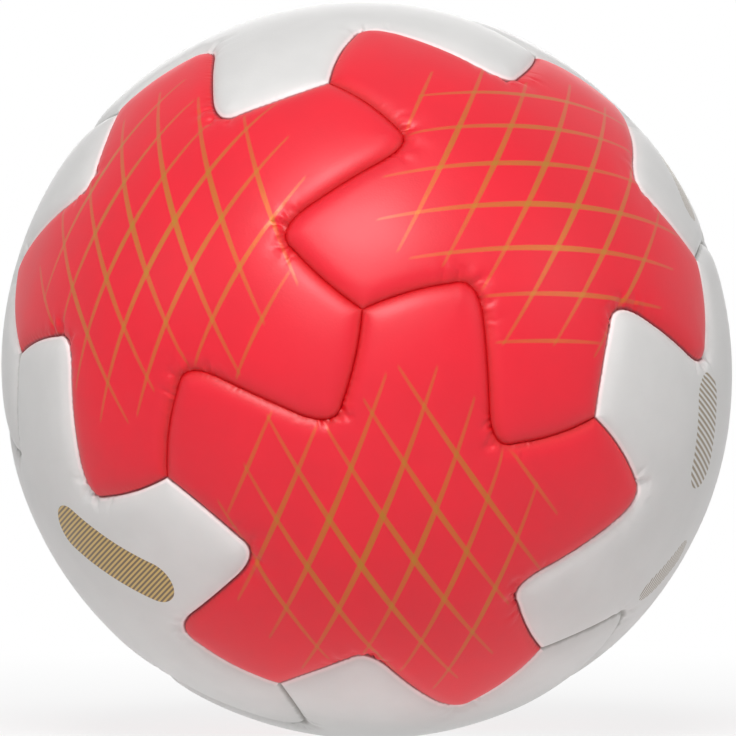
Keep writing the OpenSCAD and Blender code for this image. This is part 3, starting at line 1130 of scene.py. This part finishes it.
class Lattice(PlaneGroup):
    """Slim diamonds of thin tapering lines across a panel, in millimetres.

    The steps are the ways from one crossing to the next along each family of lines. Each
    line starts and ends at a number of steps from its crossing with the other family's
    middle line. The output is how much of the leather the print hides.
    """

    name = "fine_lattice"
    inputs = {"Plane": ORIGIN}
    outputs = ("Ink",)
    start = (9.0, 2.4, 0.0)
    falling = (12.92, -6.83)
    rising = (13.2, 6.32)
    falling_reaches = ((-1.7, 3.1), (-1.96, 3.0), (-2.3, 3.05), (-3.8, 2.75), (-3.9, 1.75), (-4.0, 0.1),
                       (-3.0, -0.8))
    rising_reaches = ((-0.45, 3.35), (-2.05, 3.15), (-3.42, 3.11), (-3.85, 1.93), (-3.6, 1.32), (-4.05, 0.86),
                      (-3.8, -2.0))
    reach_span = 10.0
    thin, thick, blur = 0.65, 1.55, 0.2
    swell, swell_power = 3.0, 0.8
    faint, strong = 0.24, 0.64
    end_fade = 0.1

    def wire(self) -> None:
        """Adds the two families of lines."""
        place, (ax, ay), (bx, by) = self.from_point(self.start), self.falling, self.rising
        area = ax * by - ay * bx
        along_a, along_b = (self.wires.vector("DOT_PRODUCT", place, way)
                            for way in ((by / area, -bx / area, 0.0), (-ay / area, ax / area, 0.0)))
        falling = self.family(along_a, along_b, abs(area) / math.hypot(ax, ay), self.falling_reaches)
        rising = self.family(along_b, along_a, abs(area) / math.hypot(bx, by), self.rising_reaches)
        self.give(Ink=self.wires.math("SUBTRACT", 1.0, (1.0 - falling) * (1.0 - rising), clamp=True))

    def family(self, along: Wire, across: Wire, spacing: float, reaches: Sequence[Pair]) -> Wire:
        """Draws one family of parallel lines.

        Args:
            along: Steps along the lines.
            across: Steps across the lines.
            spacing: Distance between two lines.
            reaches: Where each line starts and ends, in steps.

        Returns:
            How much of the leather the lines hide.
        """
        w, count, number = self.wires, len(reaches), self.wires.math("ROUND", across)
        table = self.tree.nodes.new("ShaderNodeValToRGB")
        table.color_ramp.interpolation = "CONSTANT"
        stops = table.color_ramp.elements
        while len(stops) < count:
            stops.new(0.5)
        for i, reach in enumerate(reaches):
            stops[i].position = i / count
            stops[i].color = (*(steps / self.reach_span + 0.5 for steps in reach), 0.0, 1.0)
        w.put(table.inputs[0], (number + count / 2) / count)
        parts = [w.out("ShaderNodeSeparateColor", i, Color=Wire(w, table.outputs[0])) for i in (0, 1)]
        low, high = ((part - 0.5) * self.reach_span for part in parts)
        end = w.math("MINIMUM", along - low, high - along)
        share = w.share(end, self.swell) ** self.swell_power
        half = w.blend(share, self.thin, self.thick) * 0.5
        line = 1.0 - w.fade(abs(across - number) * spacing, half - self.blur, half + self.blur)
        ends = w.fade(end, 0.0, self.end_fade) * w.blend(share, self.faint, self.strong)
        return line * ends * w.math("LESS_THAN", abs(number), count / 2)


class Hatch(PlaneGroup):
    """A plain bar with round ends, filled with slanting hatch lines, in millimetres."""

    name = "hatched_bar"
    inputs = {"Plane": ORIGIN, "Length": 20.0, "Half Width": 5.0, "Centre": ORIGIN,
              "Direction": (1.0, 0.0, 0.0), "Pitch": 1.0}
    outputs = ("Bar", "Line")
    slant = -0.62
    edge = 0.1
    line_fade = (-0.5, 0.5)

    def wire(self) -> None:
        """Adds the bar's outline and the lines in it."""
        w, place, way = self.wires, self.from_point(self["Centre"]), self["Direction"]
        along = w.vector("DOT_PRODUCT", place, way)
        across = w.vector("DOT_PRODUCT", place, w.vector("CROSS_PRODUCT", (0.0, 0.0, 1.0), way))
        over = w.math("MAXIMUM", abs(along) - self["Length"] * 0.5, 0.0)
        far = w.math("SQRT", over * over + across * across)
        bar = 1.0 - w.fade(far, self["Half Width"] - self.edge, self["Half Width"])
        wave = w.math("SINE", (across * self.slant + along) / self["Pitch"] * TURN)
        self.give(Bar=bar, Line=w.fade(wave, *self.line_fade))


class Weave(NodeGroup):
    """Plain weave of a backing textile, from a flat map."""

    name = "plain_weave"
    inputs = {"Plane": ORIGIN, "Pitch": 0.6}
    outputs = ("Height",)

    def wire(self) -> None:
        """Adds the crossing yarns."""
        w = self.wires
        place = w.vector("SCALE", self["Plane"], Scale=PLANE_SPAN * math.pi / self["Pitch"])
        x, y = (w.math("SINE", w.out("ShaderNodeSeparateXYZ", i, Vector=place)) for i in (0, 1))
        self.give(Height=abs((x + y) * 0.5))


@dataclass(frozen=True)
class NodeKit:
    """The node groups that this ball's pieces and finishes share."""

    pillow: PillowForm = field(default_factory=PillowForm)
    thread: ThreadForm = field(default_factory=ThreadForm)
    grain: Grain = field(default_factory=Grain)
    seam_shade: SeamShade = field(default_factory=SeamShade)
    lattice: Lattice = field(default_factory=Lattice)
    hatch: Hatch = field(default_factory=Hatch)
    weave: Weave = field(default_factory=Weave)


def scaled(colour: Colour, factor: float) -> Colour:
    """Returns a colour made lighter or darker."""
    return tuple(min(1.0, part * factor) for part in colour)


@dataclass(frozen=True)
class Finish:
    """What every finish has.

    The roughness is that of the pattern's low and high places. The relief is its depth in
    millimetres and its strength.
    """

    name: str
    colour: Colour
    roughness: Pair = (0.5, 0.5)
    relief: Pair = (0.1, 0.5)
    specular: float = 0.5

    def material(self, kit: NodeKit) -> bpy.types.Material:
        """Builds the material with its one Principled BSDF.

        Args:
            kit: The shared node groups.

        Returns:
            The material.
        """
        made = bpy.data.materials.new(self.name)
        made.use_nodes = True
        made.diffuse_color = (*self.colour, 1.0)
        w = Wiring(made.node_tree)
        w.fill(made.node_tree.nodes["Principled BSDF"], Specular_IOR_Level=self.specular,
               **self.draw(kit, w))
        return made

    def draw(self, kit: NodeKit, w: Wiring) -> dict[str, Any]:
        """Returns the values and wires of the shader's sockets, with _ for a space."""
        raise NotImplementedError


@dataclass(frozen=True)
class HatchedBar:
    """Place, size and inks of a hatched bar on a panel laid flat, in millimetres and degrees."""

    centre: Pair
    direction: float
    length: float
    half_width: float
    pitch: float = 1.7
    line: Colour = (0.24, 0.17, 0.08)
    ground: Colour = (0.12, 0.06, 0.012)
    ground_share: float = 0.0
    ink_share: float = 0.9
    metal: float = 0.25
    roughness: float = 0.4

    def place(self) -> dict[str, Any]:
        """Says where and how large the bar is.

        Returns:
            The inputs of the group that draws it.
        """
        angle = math.radians(self.direction)
        return {"Length": self.length, "Half_Width": self.half_width, "Centre": (*self.centre, 0.0),
                "Direction": (math.cos(angle), math.sin(angle), 0.0), "Pitch": self.pitch}


@dataclass(frozen=True)
class LeatherFinish(Finish):
    """Satin synthetic leather with a fine grain, a print, and painted shade and a painted rim at its seams,
    in millimetres.
    """

    relief: Pair = (0.04, 0.35)
    # Painted shade in a seam's crease: its colour, its width and how much it covers the leather's colour
    crease: Colour = (0.58, 0.0, 0.004)
    crease_shade_width: float = 1.3
    crease_shade_share: float = 0.85
    # Painted shade in the crease where the neighbour has another colour
    border: Colour = (0.22, 0.003, 0.012)
    border_shade_width: float = 0.7
    # Painted rim beside the seam, with one share inside one colour and another at borders; by default a
    # deeper red, painted shade where the roll turns from the light
    rim: Colour = (0.72, 0.0, 0.01)
    rim_width: float = 3.2
    rim_inner: float = 0.8
    rim_border: float = 0.6
    pebble: float = 0.55
    cloud_share: float = 0.03
    cloud_fade: Pair = (0.3, 0.7)
    has_lattice: bool = False
    ink: Colour = (0.4, 0.2, 0.004)
    ink_roughness: float = 0.36
    ink_metal: float = 0.62
    ink_coat: float = 0.3
    coat_roughness: float = 0.3
    bars: tuple[HatchedBar, ...] = ()

    def draw(self, kit: NodeKit, w: Wiring) -> dict[str, Any]:
        """Draws the leather with its print, and the painted shade and painted rim at its seams.

        Args:
            kit: The shared node groups.
            w: The material's wiring.

        Returns:
            The values and wires of the shader's sockets, with _ for a space.
        """
        place, plane = w.piece_place(), w.plane_place()
        grain = kit.grain.use(w, Place=place, Pebble=self.pebble, Seed=1.0)
        seam = kit.seam_shade.use(w, Place=place, Width=self.crease_shade_width * MM,
                                  Border_Width=self.border_shade_width * MM, Rim_Width=self.rim_width * MM)
        dark, light = (scaled(self.colour, 1 + way * self.cloud_share) for way in (-1, 1))
        colour = w.tint(w.fade(grain["Cloud"], *self.cloud_fade), dark, light)
        roughness = w.blend(grain["Cloud"], *self.roughness)
        made: dict[str, Any] = {}
        if self.has_lattice:
            ink = kit.lattice.use(w, Plane=plane)["Ink"] * seam["Outside"]
            colour = w.tint(ink, colour, self.ink)
            roughness = w.blend(ink, roughness, self.ink_roughness)
            made = {"Metallic": ink * self.ink_metal, "Coat_Weight": ink * self.ink_coat,
                    "Coat_Roughness": self.coat_roughness}
        for bar in self.bars:
            drawn = kit.hatch.use(w, Plane=plane, **bar.place())
            ink = drawn["Bar"] * seam["Outside"] * w.blend(drawn["Line"], bar.ground_share, 1.0)
            colour = w.tint(ink * bar.ink_share, colour, w.tint(drawn["Line"], bar.ground, bar.line))
            roughness = w.blend(ink, roughness, bar.roughness)
            made["Metallic"] = ink * bar.metal + made.get("Metallic", 0.0)
        # Painted light at the seams: the painted rim first, then the painted crease shade over it, with its
        # own colour at borders between two colours
        rim = seam["Rim"] * w.blend(seam["Border"], self.rim_inner, self.rim_border)
        shade = w.tint(seam["Border"], self.crease, self.border)
        colour = w.tint(seam["Shade"] * self.crease_shade_share, w.tint(rim, colour, self.rim), shade)
        return made | {"Base_Color": colour, "Roughness": roughness,
                       "Normal": w.relief(grain["Height"], *self.relief)}


@dataclass(frozen=True)
class FoamFinish(Finish):
    """Closed-cell foam with small open pores on its faces, in millimetres."""

    roughness: Pair = (0.85, 0.95)
    relief: Pair = (0.2, 0.5)
    pore: float = 0.7
    shade: float = 0.8
    light: float = 0.4
    cloud_scale: float = 70.0

    def draw(self, kit: NodeKit, w: Wiring) -> dict[str, Any]:
        """Draws the foam.

        Args:
            kit: The shared node groups.
            w: The material's wiring.

        Returns:
            The values and wires of the shader's sockets, with _ for a space.
        """
        place = w.piece_place()
        cells = w.out("ShaderNodeTexVoronoi", "Distance", Vector=place, Scale=1 / MM / self.pore)
        cloud = w.noise(place, self.cloud_scale)
        # Darker towards each pore's middle, where the relief dips: a painted shade in the pores, with a tone
        # that varies at random
        light = cells * (cloud + self.light)
        return {"Base_Color": w.tint(light, scaled(self.colour, self.shade), self.colour),
                "Roughness": w.blend(cloud, *self.roughness), "Normal": w.relief(cells, *self.relief)}


@dataclass(frozen=True)
class TextileFinish(Finish):
    """Laminated cotton and polyester weave, in millimetres."""

    roughness: Pair = (0.95, 0.8)
    relief: Pair = (0.1, 0.6)
    pitch: float = 0.7
    shade: float = 0.7
    cloud_scale: float = 60.0
    cloud_share: float = 0.4
    weave_share: float = 0.7

    def draw(self, kit: NodeKit, w: Wiring) -> dict[str, Any]:
        """Draws the textile.

        Args:
            kit: The shared node groups.
            w: The material's wiring.

        Returns:
            The values and wires of the shader's sockets, with _ for a space.
        """
        weave = kit.weave.use(w, Plane=w.plane_place(), Pitch=self.pitch)["Height"]
        # Darker where the weave's relief is low, a painted shade between the yarns, with a tone that varies
        # at random
        light = w.noise(w.piece_place(), self.cloud_scale) * self.cloud_share + weave * self.weave_share
        return {"Base_Color": w.tint(light, scaled(self.colour, self.shade), self.colour),
                "Roughness": w.blend(weave, *self.roughness), "Normal": w.relief(weave, *self.relief)}


@dataclass(frozen=True)
class RubberFinish(Finish):
    """Moulded rubber with a dusty bloom."""

    relief: Pair = (0.05, 0.3)
    bloom: float = 0.25
    dust: float = 0.35
    dust_fade: Pair = (0.4, 0.75)
    cloud_scale: float = 120.0
    cloud_detail: float = 4.0
    grain_scale: float = 1800.0

    def draw(self, kit: NodeKit, w: Wiring) -> dict[str, Any]:
        """Draws the rubber.

        Args:
            kit: The shared node groups.
            w: The material's wiring.

        Returns:
            The values and wires of the shader's sockets, with _ for a space.
        """
        place = w.piece_place()
        cloud = w.noise(place, self.cloud_scale, self.cloud_detail)
        pale = tuple(part + self.bloom * self.dust for part in self.colour)
        return {"Base_Color": w.tint(w.fade(cloud, *self.dust_fade) * self.bloom, self.colour, pale),
                "Roughness": w.blend(cloud, *self.roughness),
                "Normal": w.relief(w.noise(place, self.grain_scale), *self.relief)}


@dataclass(frozen=True)
class ThreadFinish(Finish):
    """Waxed twisted thread, in millimetres."""

    roughness: Pair = (0.7, 0.45)
    twist: float = 0.5
    shade: float = 0.6
    distortion: float = 2.0

    def draw(self, kit: NodeKit, w: Wiring) -> dict[str, Any]:
        """Draws the thread.

        Args:
            kit: The shared node groups.
            w: The material's wiring.

        Returns:
            The values and wires of the shader's sockets, with _ for a space.
        """
        fibre = w.out("ShaderNodeTexWave", "Fac", {"wave_type": "BANDS", "bands_direction": "DIAGONAL"},
                      Vector=w.piece_place(), Scale=1 / MM / self.twist, Distortion=self.distortion)
        # Darker where the twist's relief is low, a painted shade in its grooves
        return {"Base_Color": w.tint(fibre, scaled(self.colour, self.shade), self.colour),
                "Roughness": w.blend(fibre, *self.roughness), "Normal": w.relief(fibre, *self.relief)}


# Sub-assemblies


@dataclass
class SubAssembly:
    """What the ball's sub-assemblies share: the node groups and the seam line."""

    kit: NodeKit
    seam: SeamLine = SeamLine()

    def build(self) -> list[bpy.types.Object]:
        """Builds and dresses the pieces."""
        raise NotImplementedError

    @staticmethod
    def hand_over(piece: bpy.types.Object, node: str, slot: str, padded: bool) -> bpy.types.Object:
        """Attaches a finished piece to the ball's body and hides the CAD node that it stands for.

        Args:
            piece: The finished piece.
            node: The CAD node that it stands for.
            slot: Not used.
            padded: Not used.

        Returns:
            The piece.
        """
        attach(piece, BODY)
        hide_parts(node)
        LOG.info("%s stands for %s with %d faces", piece.name, node, len(piece.data.polygons))
        return piece


@dataclass
class Covers(SubAssembly):
    """The twelve leather covers, in millimetres.

    A coarse or an inner row has its distance from the outline, and how many times fewer points
    than the outline it has.
    """

    per_edge: int = 312
    squeeze: float = 0.02
    fine_rows: tuple[float, ...] = (0.12, 0.26, 0.42, 0.6, 0.82, 1.08, 1.38, 1.72, 2.1, 2.55)
    coarse_rows: tuple[tuple[float, int], ...] = ((3.1, 2), (3.75, 2), (4.6, 3), (5.7, 4))
    inner_rows: tuple[tuple[float, int], ...] = ((0.9, 6), (2.2, 6), (4.0, 8))
    step: float = 1.5
    coarse: float = 5.0

    def sizes(self) -> LayerSizes:
        """Works out a cover's mesh.

        Returns:
            Its sizes.
        """
        layout, fine = self.seam.layout, self.per_edge
        rows = [(depth, 1) for depth in self.fine_rows] + list(self.coarse_rows)
        return LayerSizes(
            outer_radius=layout.radius, inner_radius=layout.radius - layout.cover, inset=self.squeeze,
            wall=((self.squeeze, layout.lining_in, 0.0), (layout.turned_in, layout.lining_in, 0.0),
                  (layout.turned_in, layout.radius - layout.cover, 1.0)),
            per_edge=fine, rows=tuple((depth, fine // part) for depth, part in rows),
            inner_rows=tuple((depth, fine // part) for depth, part in self.inner_rows),
            step=self.step, coarse=self.coarse, hole=layout.valve_hole)

    def finishes(self) -> dict[Panel, bpy.types.Material]:
        """Builds the leathers, red, white, and white with hatched bars.

        Returns:
            The material of each panel.
        """
        red = LeatherFinish("red_leather", (0.785, 0.002, 0.02), (0.4, 0.52), specular=0.56,
                            has_lattice=True)
        # White leather: a grey painted shade in its creases, a pinkish painted shade at red borders, and a
        # pale pink rim only there, a painted glow of red light bounced from the red neighbours
        white = LeatherFinish("white_leather", (0.72, 0.71, 0.7), (0.36, 0.48), specular=0.43,
                              crease=(0.36, 0.35, 0.33), crease_shade_width=1.15, border=(0.45, 0.12, 0.13),
                              border_shade_width=0.35, rim=(0.98, 0.86, 0.86), rim_width=1.3, rim_inner=0.0,
                              rim_border=0.95)
        bars = {
            Panel.LOW_LEFT: ("side", HatchedBar((26.0, -3.5), 119.0, 29.0, 6.5, pitch=1.25,
                                                line=(0.62, 0.41, 0.09), ground_share=1.0)),
            Panel.LOW_RIGHT: ("low", HatchedBar((15.0, -13.0), 113.0, 17.0, 6.5),
                              HatchedBar((-2.0, 22.0), 64.0, 12.0, 4.5)),
            Panel.HIGH_RIGHT: ("high", HatchedBar((-38.0, -15.0), 60.0, 14.0, 4.5)),
        }
        plain = {is_red: finish.material(self.kit) for is_red, finish in ((True, red), (False, white))}
        barred = {}
        for panel, (label, *drawn) in bars.items():
            finish = replace(white, name=f"white_leather_{label}_bar", bars=tuple(drawn))
            barred[panel] = finish.material(self.kit)
        return {panel: barred.get(panel, plain[panel.is_red]) for panel in Panel}

    def build(self) -> list[bpy.types.Object]:
        """Builds, forms and dresses every cover.

        Returns:
            The covers.
        """
        mesher = LayerMesher(self.seam, self.sizes())
        skins = {hole: mesher.build(hole) for hole in (False, True)}
        finishes = self.finishes()
        pieces = []
        for number, panel in enumerate(Panel):
            border = [float(other.is_red != panel.is_red) for other in self.seam.neighbours(panel)]
            raw = mesh_from(f"leather_{panel.label}", skins[panel.has_valve], self.seam.layout.place(panel),
                            panel.printing, border)
            piece = self.kit.pillow.shape(raw, finishes[panel], Seed=FIRST_SEED + number)
            slot = "cover_red" if panel.is_red else "cover_white"
            pieces.append(self.hand_over(piece, f"cover_{panel.label}", slot, padded=True))
        return pieces


class Layer(enum.Enum):
    """The layers under a cover."""

    FOAM = "foam"
    LINING = "lining"


@dataclass
class Padding(SubAssembly):
    """The foam pads and the textile linings under the covers, in millimetres."""

    per_edge: int = 48
    row_depths: tuple[float, ...] = (0.3, 0.9, 2.0)
    step: float = 4.0
    coarse: float = 6.0
    lining_roll: float = 0.12

    def mesher(self, outer: float, inner: float) -> LayerMesher:
        """Works out a pad's mesh.

        Args:
            outer: Outer radius.
            inner: Inner radius.

        Returns:
            What meshes it.
        """
        layout = self.seam.layout
        return LayerMesher(self.seam, LayerSizes(
            outer_radius=outer, inner_radius=inner, inset=layout.pad_inset,
            wall=((layout.pad_inset, inner, 0.0),), per_edge=self.per_edge,
            rows=tuple((depth, self.per_edge) for depth in self.row_depths), inner_rows=(),
            step=self.step, coarse=self.coarse, hole=layout.valve_hole))

    def build(self) -> list[bpy.types.Object]:
        """Builds, forms and dresses every pad and lining.

        Returns:
            The pads and the linings.
        """
        layout, pieces = self.seam.layout, []
        foam = FoamFinish("grey_foam", (0.5, 0.52, 0.55)).material(self.kit)
        textile = TextileFinish("cream_textile", (0.72, 0.68, 0.55)).material(self.kit)
        smooth = {"Pucker_Depth": 0.0, "Gather_Depth": 0.0, "Fold_Depth": 0.0}
        pressed = smooth | {"Edge_Offset": layout.pad_inset * MM}
        flat = smooth | {"Roll_Depth": self.lining_roll * MM, "Crown_Depth": 0.0, "Swell": 0.0,
                         "Out_Of_Round": 0.0}
        for layer, finish, outer, inner, form in (
                (Layer.FOAM, foam, layout.foam_out, layout.foam_out - layout.foam, pressed),
                (Layer.LINING, textile, layout.lining_out, layout.lining_in, flat)):
            mesher, kind = self.mesher(outer, inner), layer.value
            skins = {hole: mesher.build(hole) for hole in (False, True)}
            for number, panel in enumerate(Panel):
                raw = mesh_from(f"{kind}_pad_{panel.label}", skins[panel.has_valve], layout.place(panel),
                                panel.printing)
                piece = self.kit.pillow.shape(raw, finish, Seed=FIRST_SEED + number, **form)
                padded = layer is Layer.FOAM
                pieces.append(self.hand_over(piece, f"{kind}_{panel.label}", kind, padded))
        return pieces


@dataclass
class Stitching(SubAssembly):
    """The sewing thread of every seam, five pieces as the CAD has them, in millimetres."""

    margin: float = 2.0
    count: int = 90

    def line(self, panel: Panel, edge: int) -> Array:
        """Draws the centre line of a seam at the stitches' depth.

        Args:
            panel: A panel beside the seam.
            edge: The seam's number on that panel.

        Returns:
            Its points, in metres.
        """
        layout = self.seam.layout
        here, _ = self.seam.at(np.linspace(self.margin, self.seam.length - self.margin, self.count))
        points = self.seam.direction(here, edge) * (layout.radius - layout.stitch_depth)
        return points @ layout.place(panel).T * MM

    def build(self) -> list[bpy.types.Object]:
        """Builds and dresses the threads.

        Returns:
            The threads.
        """
        crimson = ThreadFinish("crimson_thread", (0.22, 0.005, 0.015)).material(self.kit)
        cream = ThreadFinish("cream_thread", (0.6, 0.55, 0.45)).material(self.kit)
        pieces = []
        # Each node sews these edges of all three panels of its ring
        for node, ring, edges in (
                ("thread_front", Ring.FRONT, (0,)), ("thread_front_border", Ring.FRONT, (1, 2, 3)),
                ("thread_belt", Ring.BELT_NEAR, (1, 3)), ("thread_back_border", Ring.BACK, (1, 2, 3)),
                ("thread_back", Ring.BACK, (0,))):
            curve = bpy.data.curves.new(f"sewing_{node}", "CURVE")
            curve.dimensions = "3D"
            for points in (self.line(panel, edge) for panel in Panel if panel.ring is ring for edge in edges):
                spline = curve.splines.new("POLY")
                spline.points.add(len(points) - 1)
                spline.points.foreach_set("co", np.column_stack([points, np.ones(len(points))]).ravel())
            finish, slot = (crimson, "thread_red") if edges == (0,) else (cream, "thread_cream")
            piece = self.kit.thread.shape(stand(f"sewing_{node}", curve), finish)
            pieces.append(self.hand_over(piece, node, slot, padded=False))
        return pieces


@dataclass
class Inflation(SubAssembly):
    """The bladder and the valve, whose CAD shapes stay and get their materials."""

    bladder: RubberFinish = RubberFinish("latex", (0.018, 0.018, 0.02), (0.47, 0.67), bloom=0.5)
    valve_body: RubberFinish = RubberFinish("valve_rubber", (0.012, 0.012, 0.013), (0.37, 0.57), bloom=0.15)
    valve_plug: RubberFinish = RubberFinish("plug_rubber", (0.09, 0.09, 0.095), (0.42, 0.62), bloom=0.2)
    valve_patch: RubberFinish = RubberFinish("patch_rubber", (0.03, 0.03, 0.033), (0.52, 0.72), bloom=0.4)

    def build(self) -> list[bpy.types.Object]:
        """Dresses the CAD nodes.

        Returns:
            The nodes.
        """
        pieces = []
        for node, finish in (("bladder", self.bladder), ("valve_body", self.valve_body),
                             ("valve_plug", self.valve_plug), ("valve_patch", self.valve_patch)):
            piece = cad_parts[node]
            piece.data.materials.clear()
            piece.data.materials.append(finish.material(self.kit))
            LOG.info("%s keeps its CAD shape and wears %s", node, finish.name)
            pieces.append(piece)
        return pieces


# The studio


@dataclass(frozen=True)
class Softbox:
    """A square lamp that faces the ball, in metres, watts and degrees to the right and upwards."""

    name: str
    side: float
    lift: float
    size: float
    power: float
    distance: float = 1.6

    def hang(self) -> None:
        """Hangs the lamp in the scene, out of the camera's sight."""
        data = bpy.data.lights.new(self.name, "AREA")
        data.shape, data.size, data.energy = "SQUARE", self.size, self.power
        made = stand(self.name, data)
        toward = Vector(turned("Z", self.side) @ turned("X", -self.lift) @ np.array([0.0, -1.0, 0.0]))
        made.location = toward * self.distance
        made.rotation_euler = toward.to_track_quat("Z", "Y").to_euler()
        made.visible_camera = False


@dataclass
class Studio:
    """Floor, background, lamps and the camera, in metres unless they are pixels."""

    picture: int = 736
    ball_radius: float = BallLayout().radius * MM
    distance_share: float = 19.0
    ball_pixels: float = 367.0
    centre_pixels: Pair = (366.9, 370.6)
    sensor: float = 36.0
    clip: Pair = (0.1, 50.0)
    daylight: float = 0.14
    floor_half: float = 4.0
    floor_gap: float = 0.0005
    floor_grey: float = 0.94
    floor_roughness: float = 0.9
    floor_specular: float = 0.1
    # Strength of the painted glow round the ball's foot, which lights the ball from below, and where that
    # glow fades out
    painted_foot_glow: float = 0.8
    glow_reach: Pair = (0.03, 0.16)
    shadow_share: float = 0.8
    shadow_reach: Pair = (0.12, 0.6)
    lamps: tuple[Softbox, ...] = (
        Softbox("key", -4.0, 42.0, 0.6, 19.3), Softbox("left", -62.0, 25.0, 0.7, 1.4),
        Softbox("right", 62.0, 25.0, 0.7, 2.2), Softbox("back", 180.0, 12.0, 0.9, 5.0))

    def camera(self) -> None:
        """Makes the camera at the photograph's viewing angle."""
        data = bpy.data.cameras.new("camera")
        focal_pixels = self.ball_pixels / math.tan(math.asin(1 / self.distance_share))
        data.sensor_width = self.sensor
        data.lens = focal_pixels / self.picture * self.sensor
        data.shift_x = (self.picture / 2 - self.centre_pixels[0]) / self.picture
        data.shift_y = (self.centre_pixels[1] - self.picture / 2) / self.picture
        data.clip_start, data.clip_end = self.clip
        made = stand("camera", data)
        made.location = (0.0, -self.distance_share * self.ball_radius, 0.0)
        made.rotation_euler = (math.pi / 2, 0.0, 0.0)
        bpy.context.scene.camera = made

    def seen_directly(self, w: Wiring) -> Wire:
        """Finds out what looks at a surface.

        Args:
            w: Wiring of the world or of a material.

        Returns:
            1 for rays of the camera, of gloss and through glass.
        """
        camera, gloss, glass = (w.out("ShaderNodeLightPath", f"Is {ray} Ray")
                                for ray in ("Camera", "Glossy", "Transmission"))
        return w.math("MAXIMUM", w.math("MAXIMUM", camera, gloss), glass)

    def background(self) -> None:
        """Gives the world even daylight and a white look."""
        world = bpy.data.worlds.new("white_room")
        bpy.context.scene.world = world
        world.use_nodes = True
        w = Wiring(world.node_tree)
        w.fill(world.node_tree.nodes["Background"], Color=WHITE,
               Strength=w.blend(self.seen_directly(w), self.daylight, 1.0))

    def floor(self) -> None:
        """Lays the white floor under the ball. Round the ball's foot it glows for all rays but those of the
        camera, of gloss and through glass, a painted glow that lights the ball from below.
        """
        low, half = -self.ball_radius - self.floor_gap, self.floor_half
        mesh = bpy.data.meshes.new("floor")
        corners = [(x * half, y * half, low) for x, y in ((-1, -1), (1, -1), (1, 1), (-1, 1))]
        mesh.from_pydata(corners, [], [(0, 1, 2, 3)])
        finish = bpy.data.materials.new("floor")
        finish.use_nodes = True
        nodes, w = finish.node_tree.nodes, Wiring(finish.node_tree)
        bsdf = w.fill(nodes["Principled BSDF"], Base_Color=(self.floor_grey,) * 3,
                      Roughness=self.floor_roughness, Specular_IOR_Level=self.floor_specular)
        away = w.vector("LENGTH", w.piece_place())
        # Painted glow: near the ball's foot, rays other than the camera's, gloss and glass find the floor
        # glowing, so it lights the ball's underside
        under = w.blend(w.fade(away, *self.glow_reach), self.painted_foot_glow, 0.0)
        seen = w.blend(w.fade(away, *self.shadow_reach), self.shadow_share, 1.0)
        glow = w.out("ShaderNodeEmission", Color=WHITE, Strength=1.0)
        share = w.blend(self.seen_directly(w), under, seen)
        mixed = w.out("ShaderNodeMixShader", numbered={0: share, 1: Wire(w, bsdf.outputs[0]), 2: glow})
        w.fill(nodes["Material Output"], Surface=mixed)
        mesh.materials.append(finish)
        made = stand("floor", mesh)

    def build(self) -> None:
        """Sets up the whole studio."""
        self.camera()
        self.background()
        self.floor()
        for lamp in self.lamps:
            lamp.hang()
        bpy.context.scene.view_settings.view_transform = "Standard"


def main() -> None:
    """Builds the studio and the ball, and reports each piece."""
    logging.basicConfig(level=logging.INFO, format="%(name)s: %(message)s")
    Studio().build()
    kit = NodeKit()
    for assembly in (Covers(kit), Padding(kit), Stitching(kit), Inflation(kit)):
        pieces = assembly.build()
        LOG.info("%s: %d pieces", type(assembly).__name__, len(pieces))


if __name__ == "__main__":
    main()
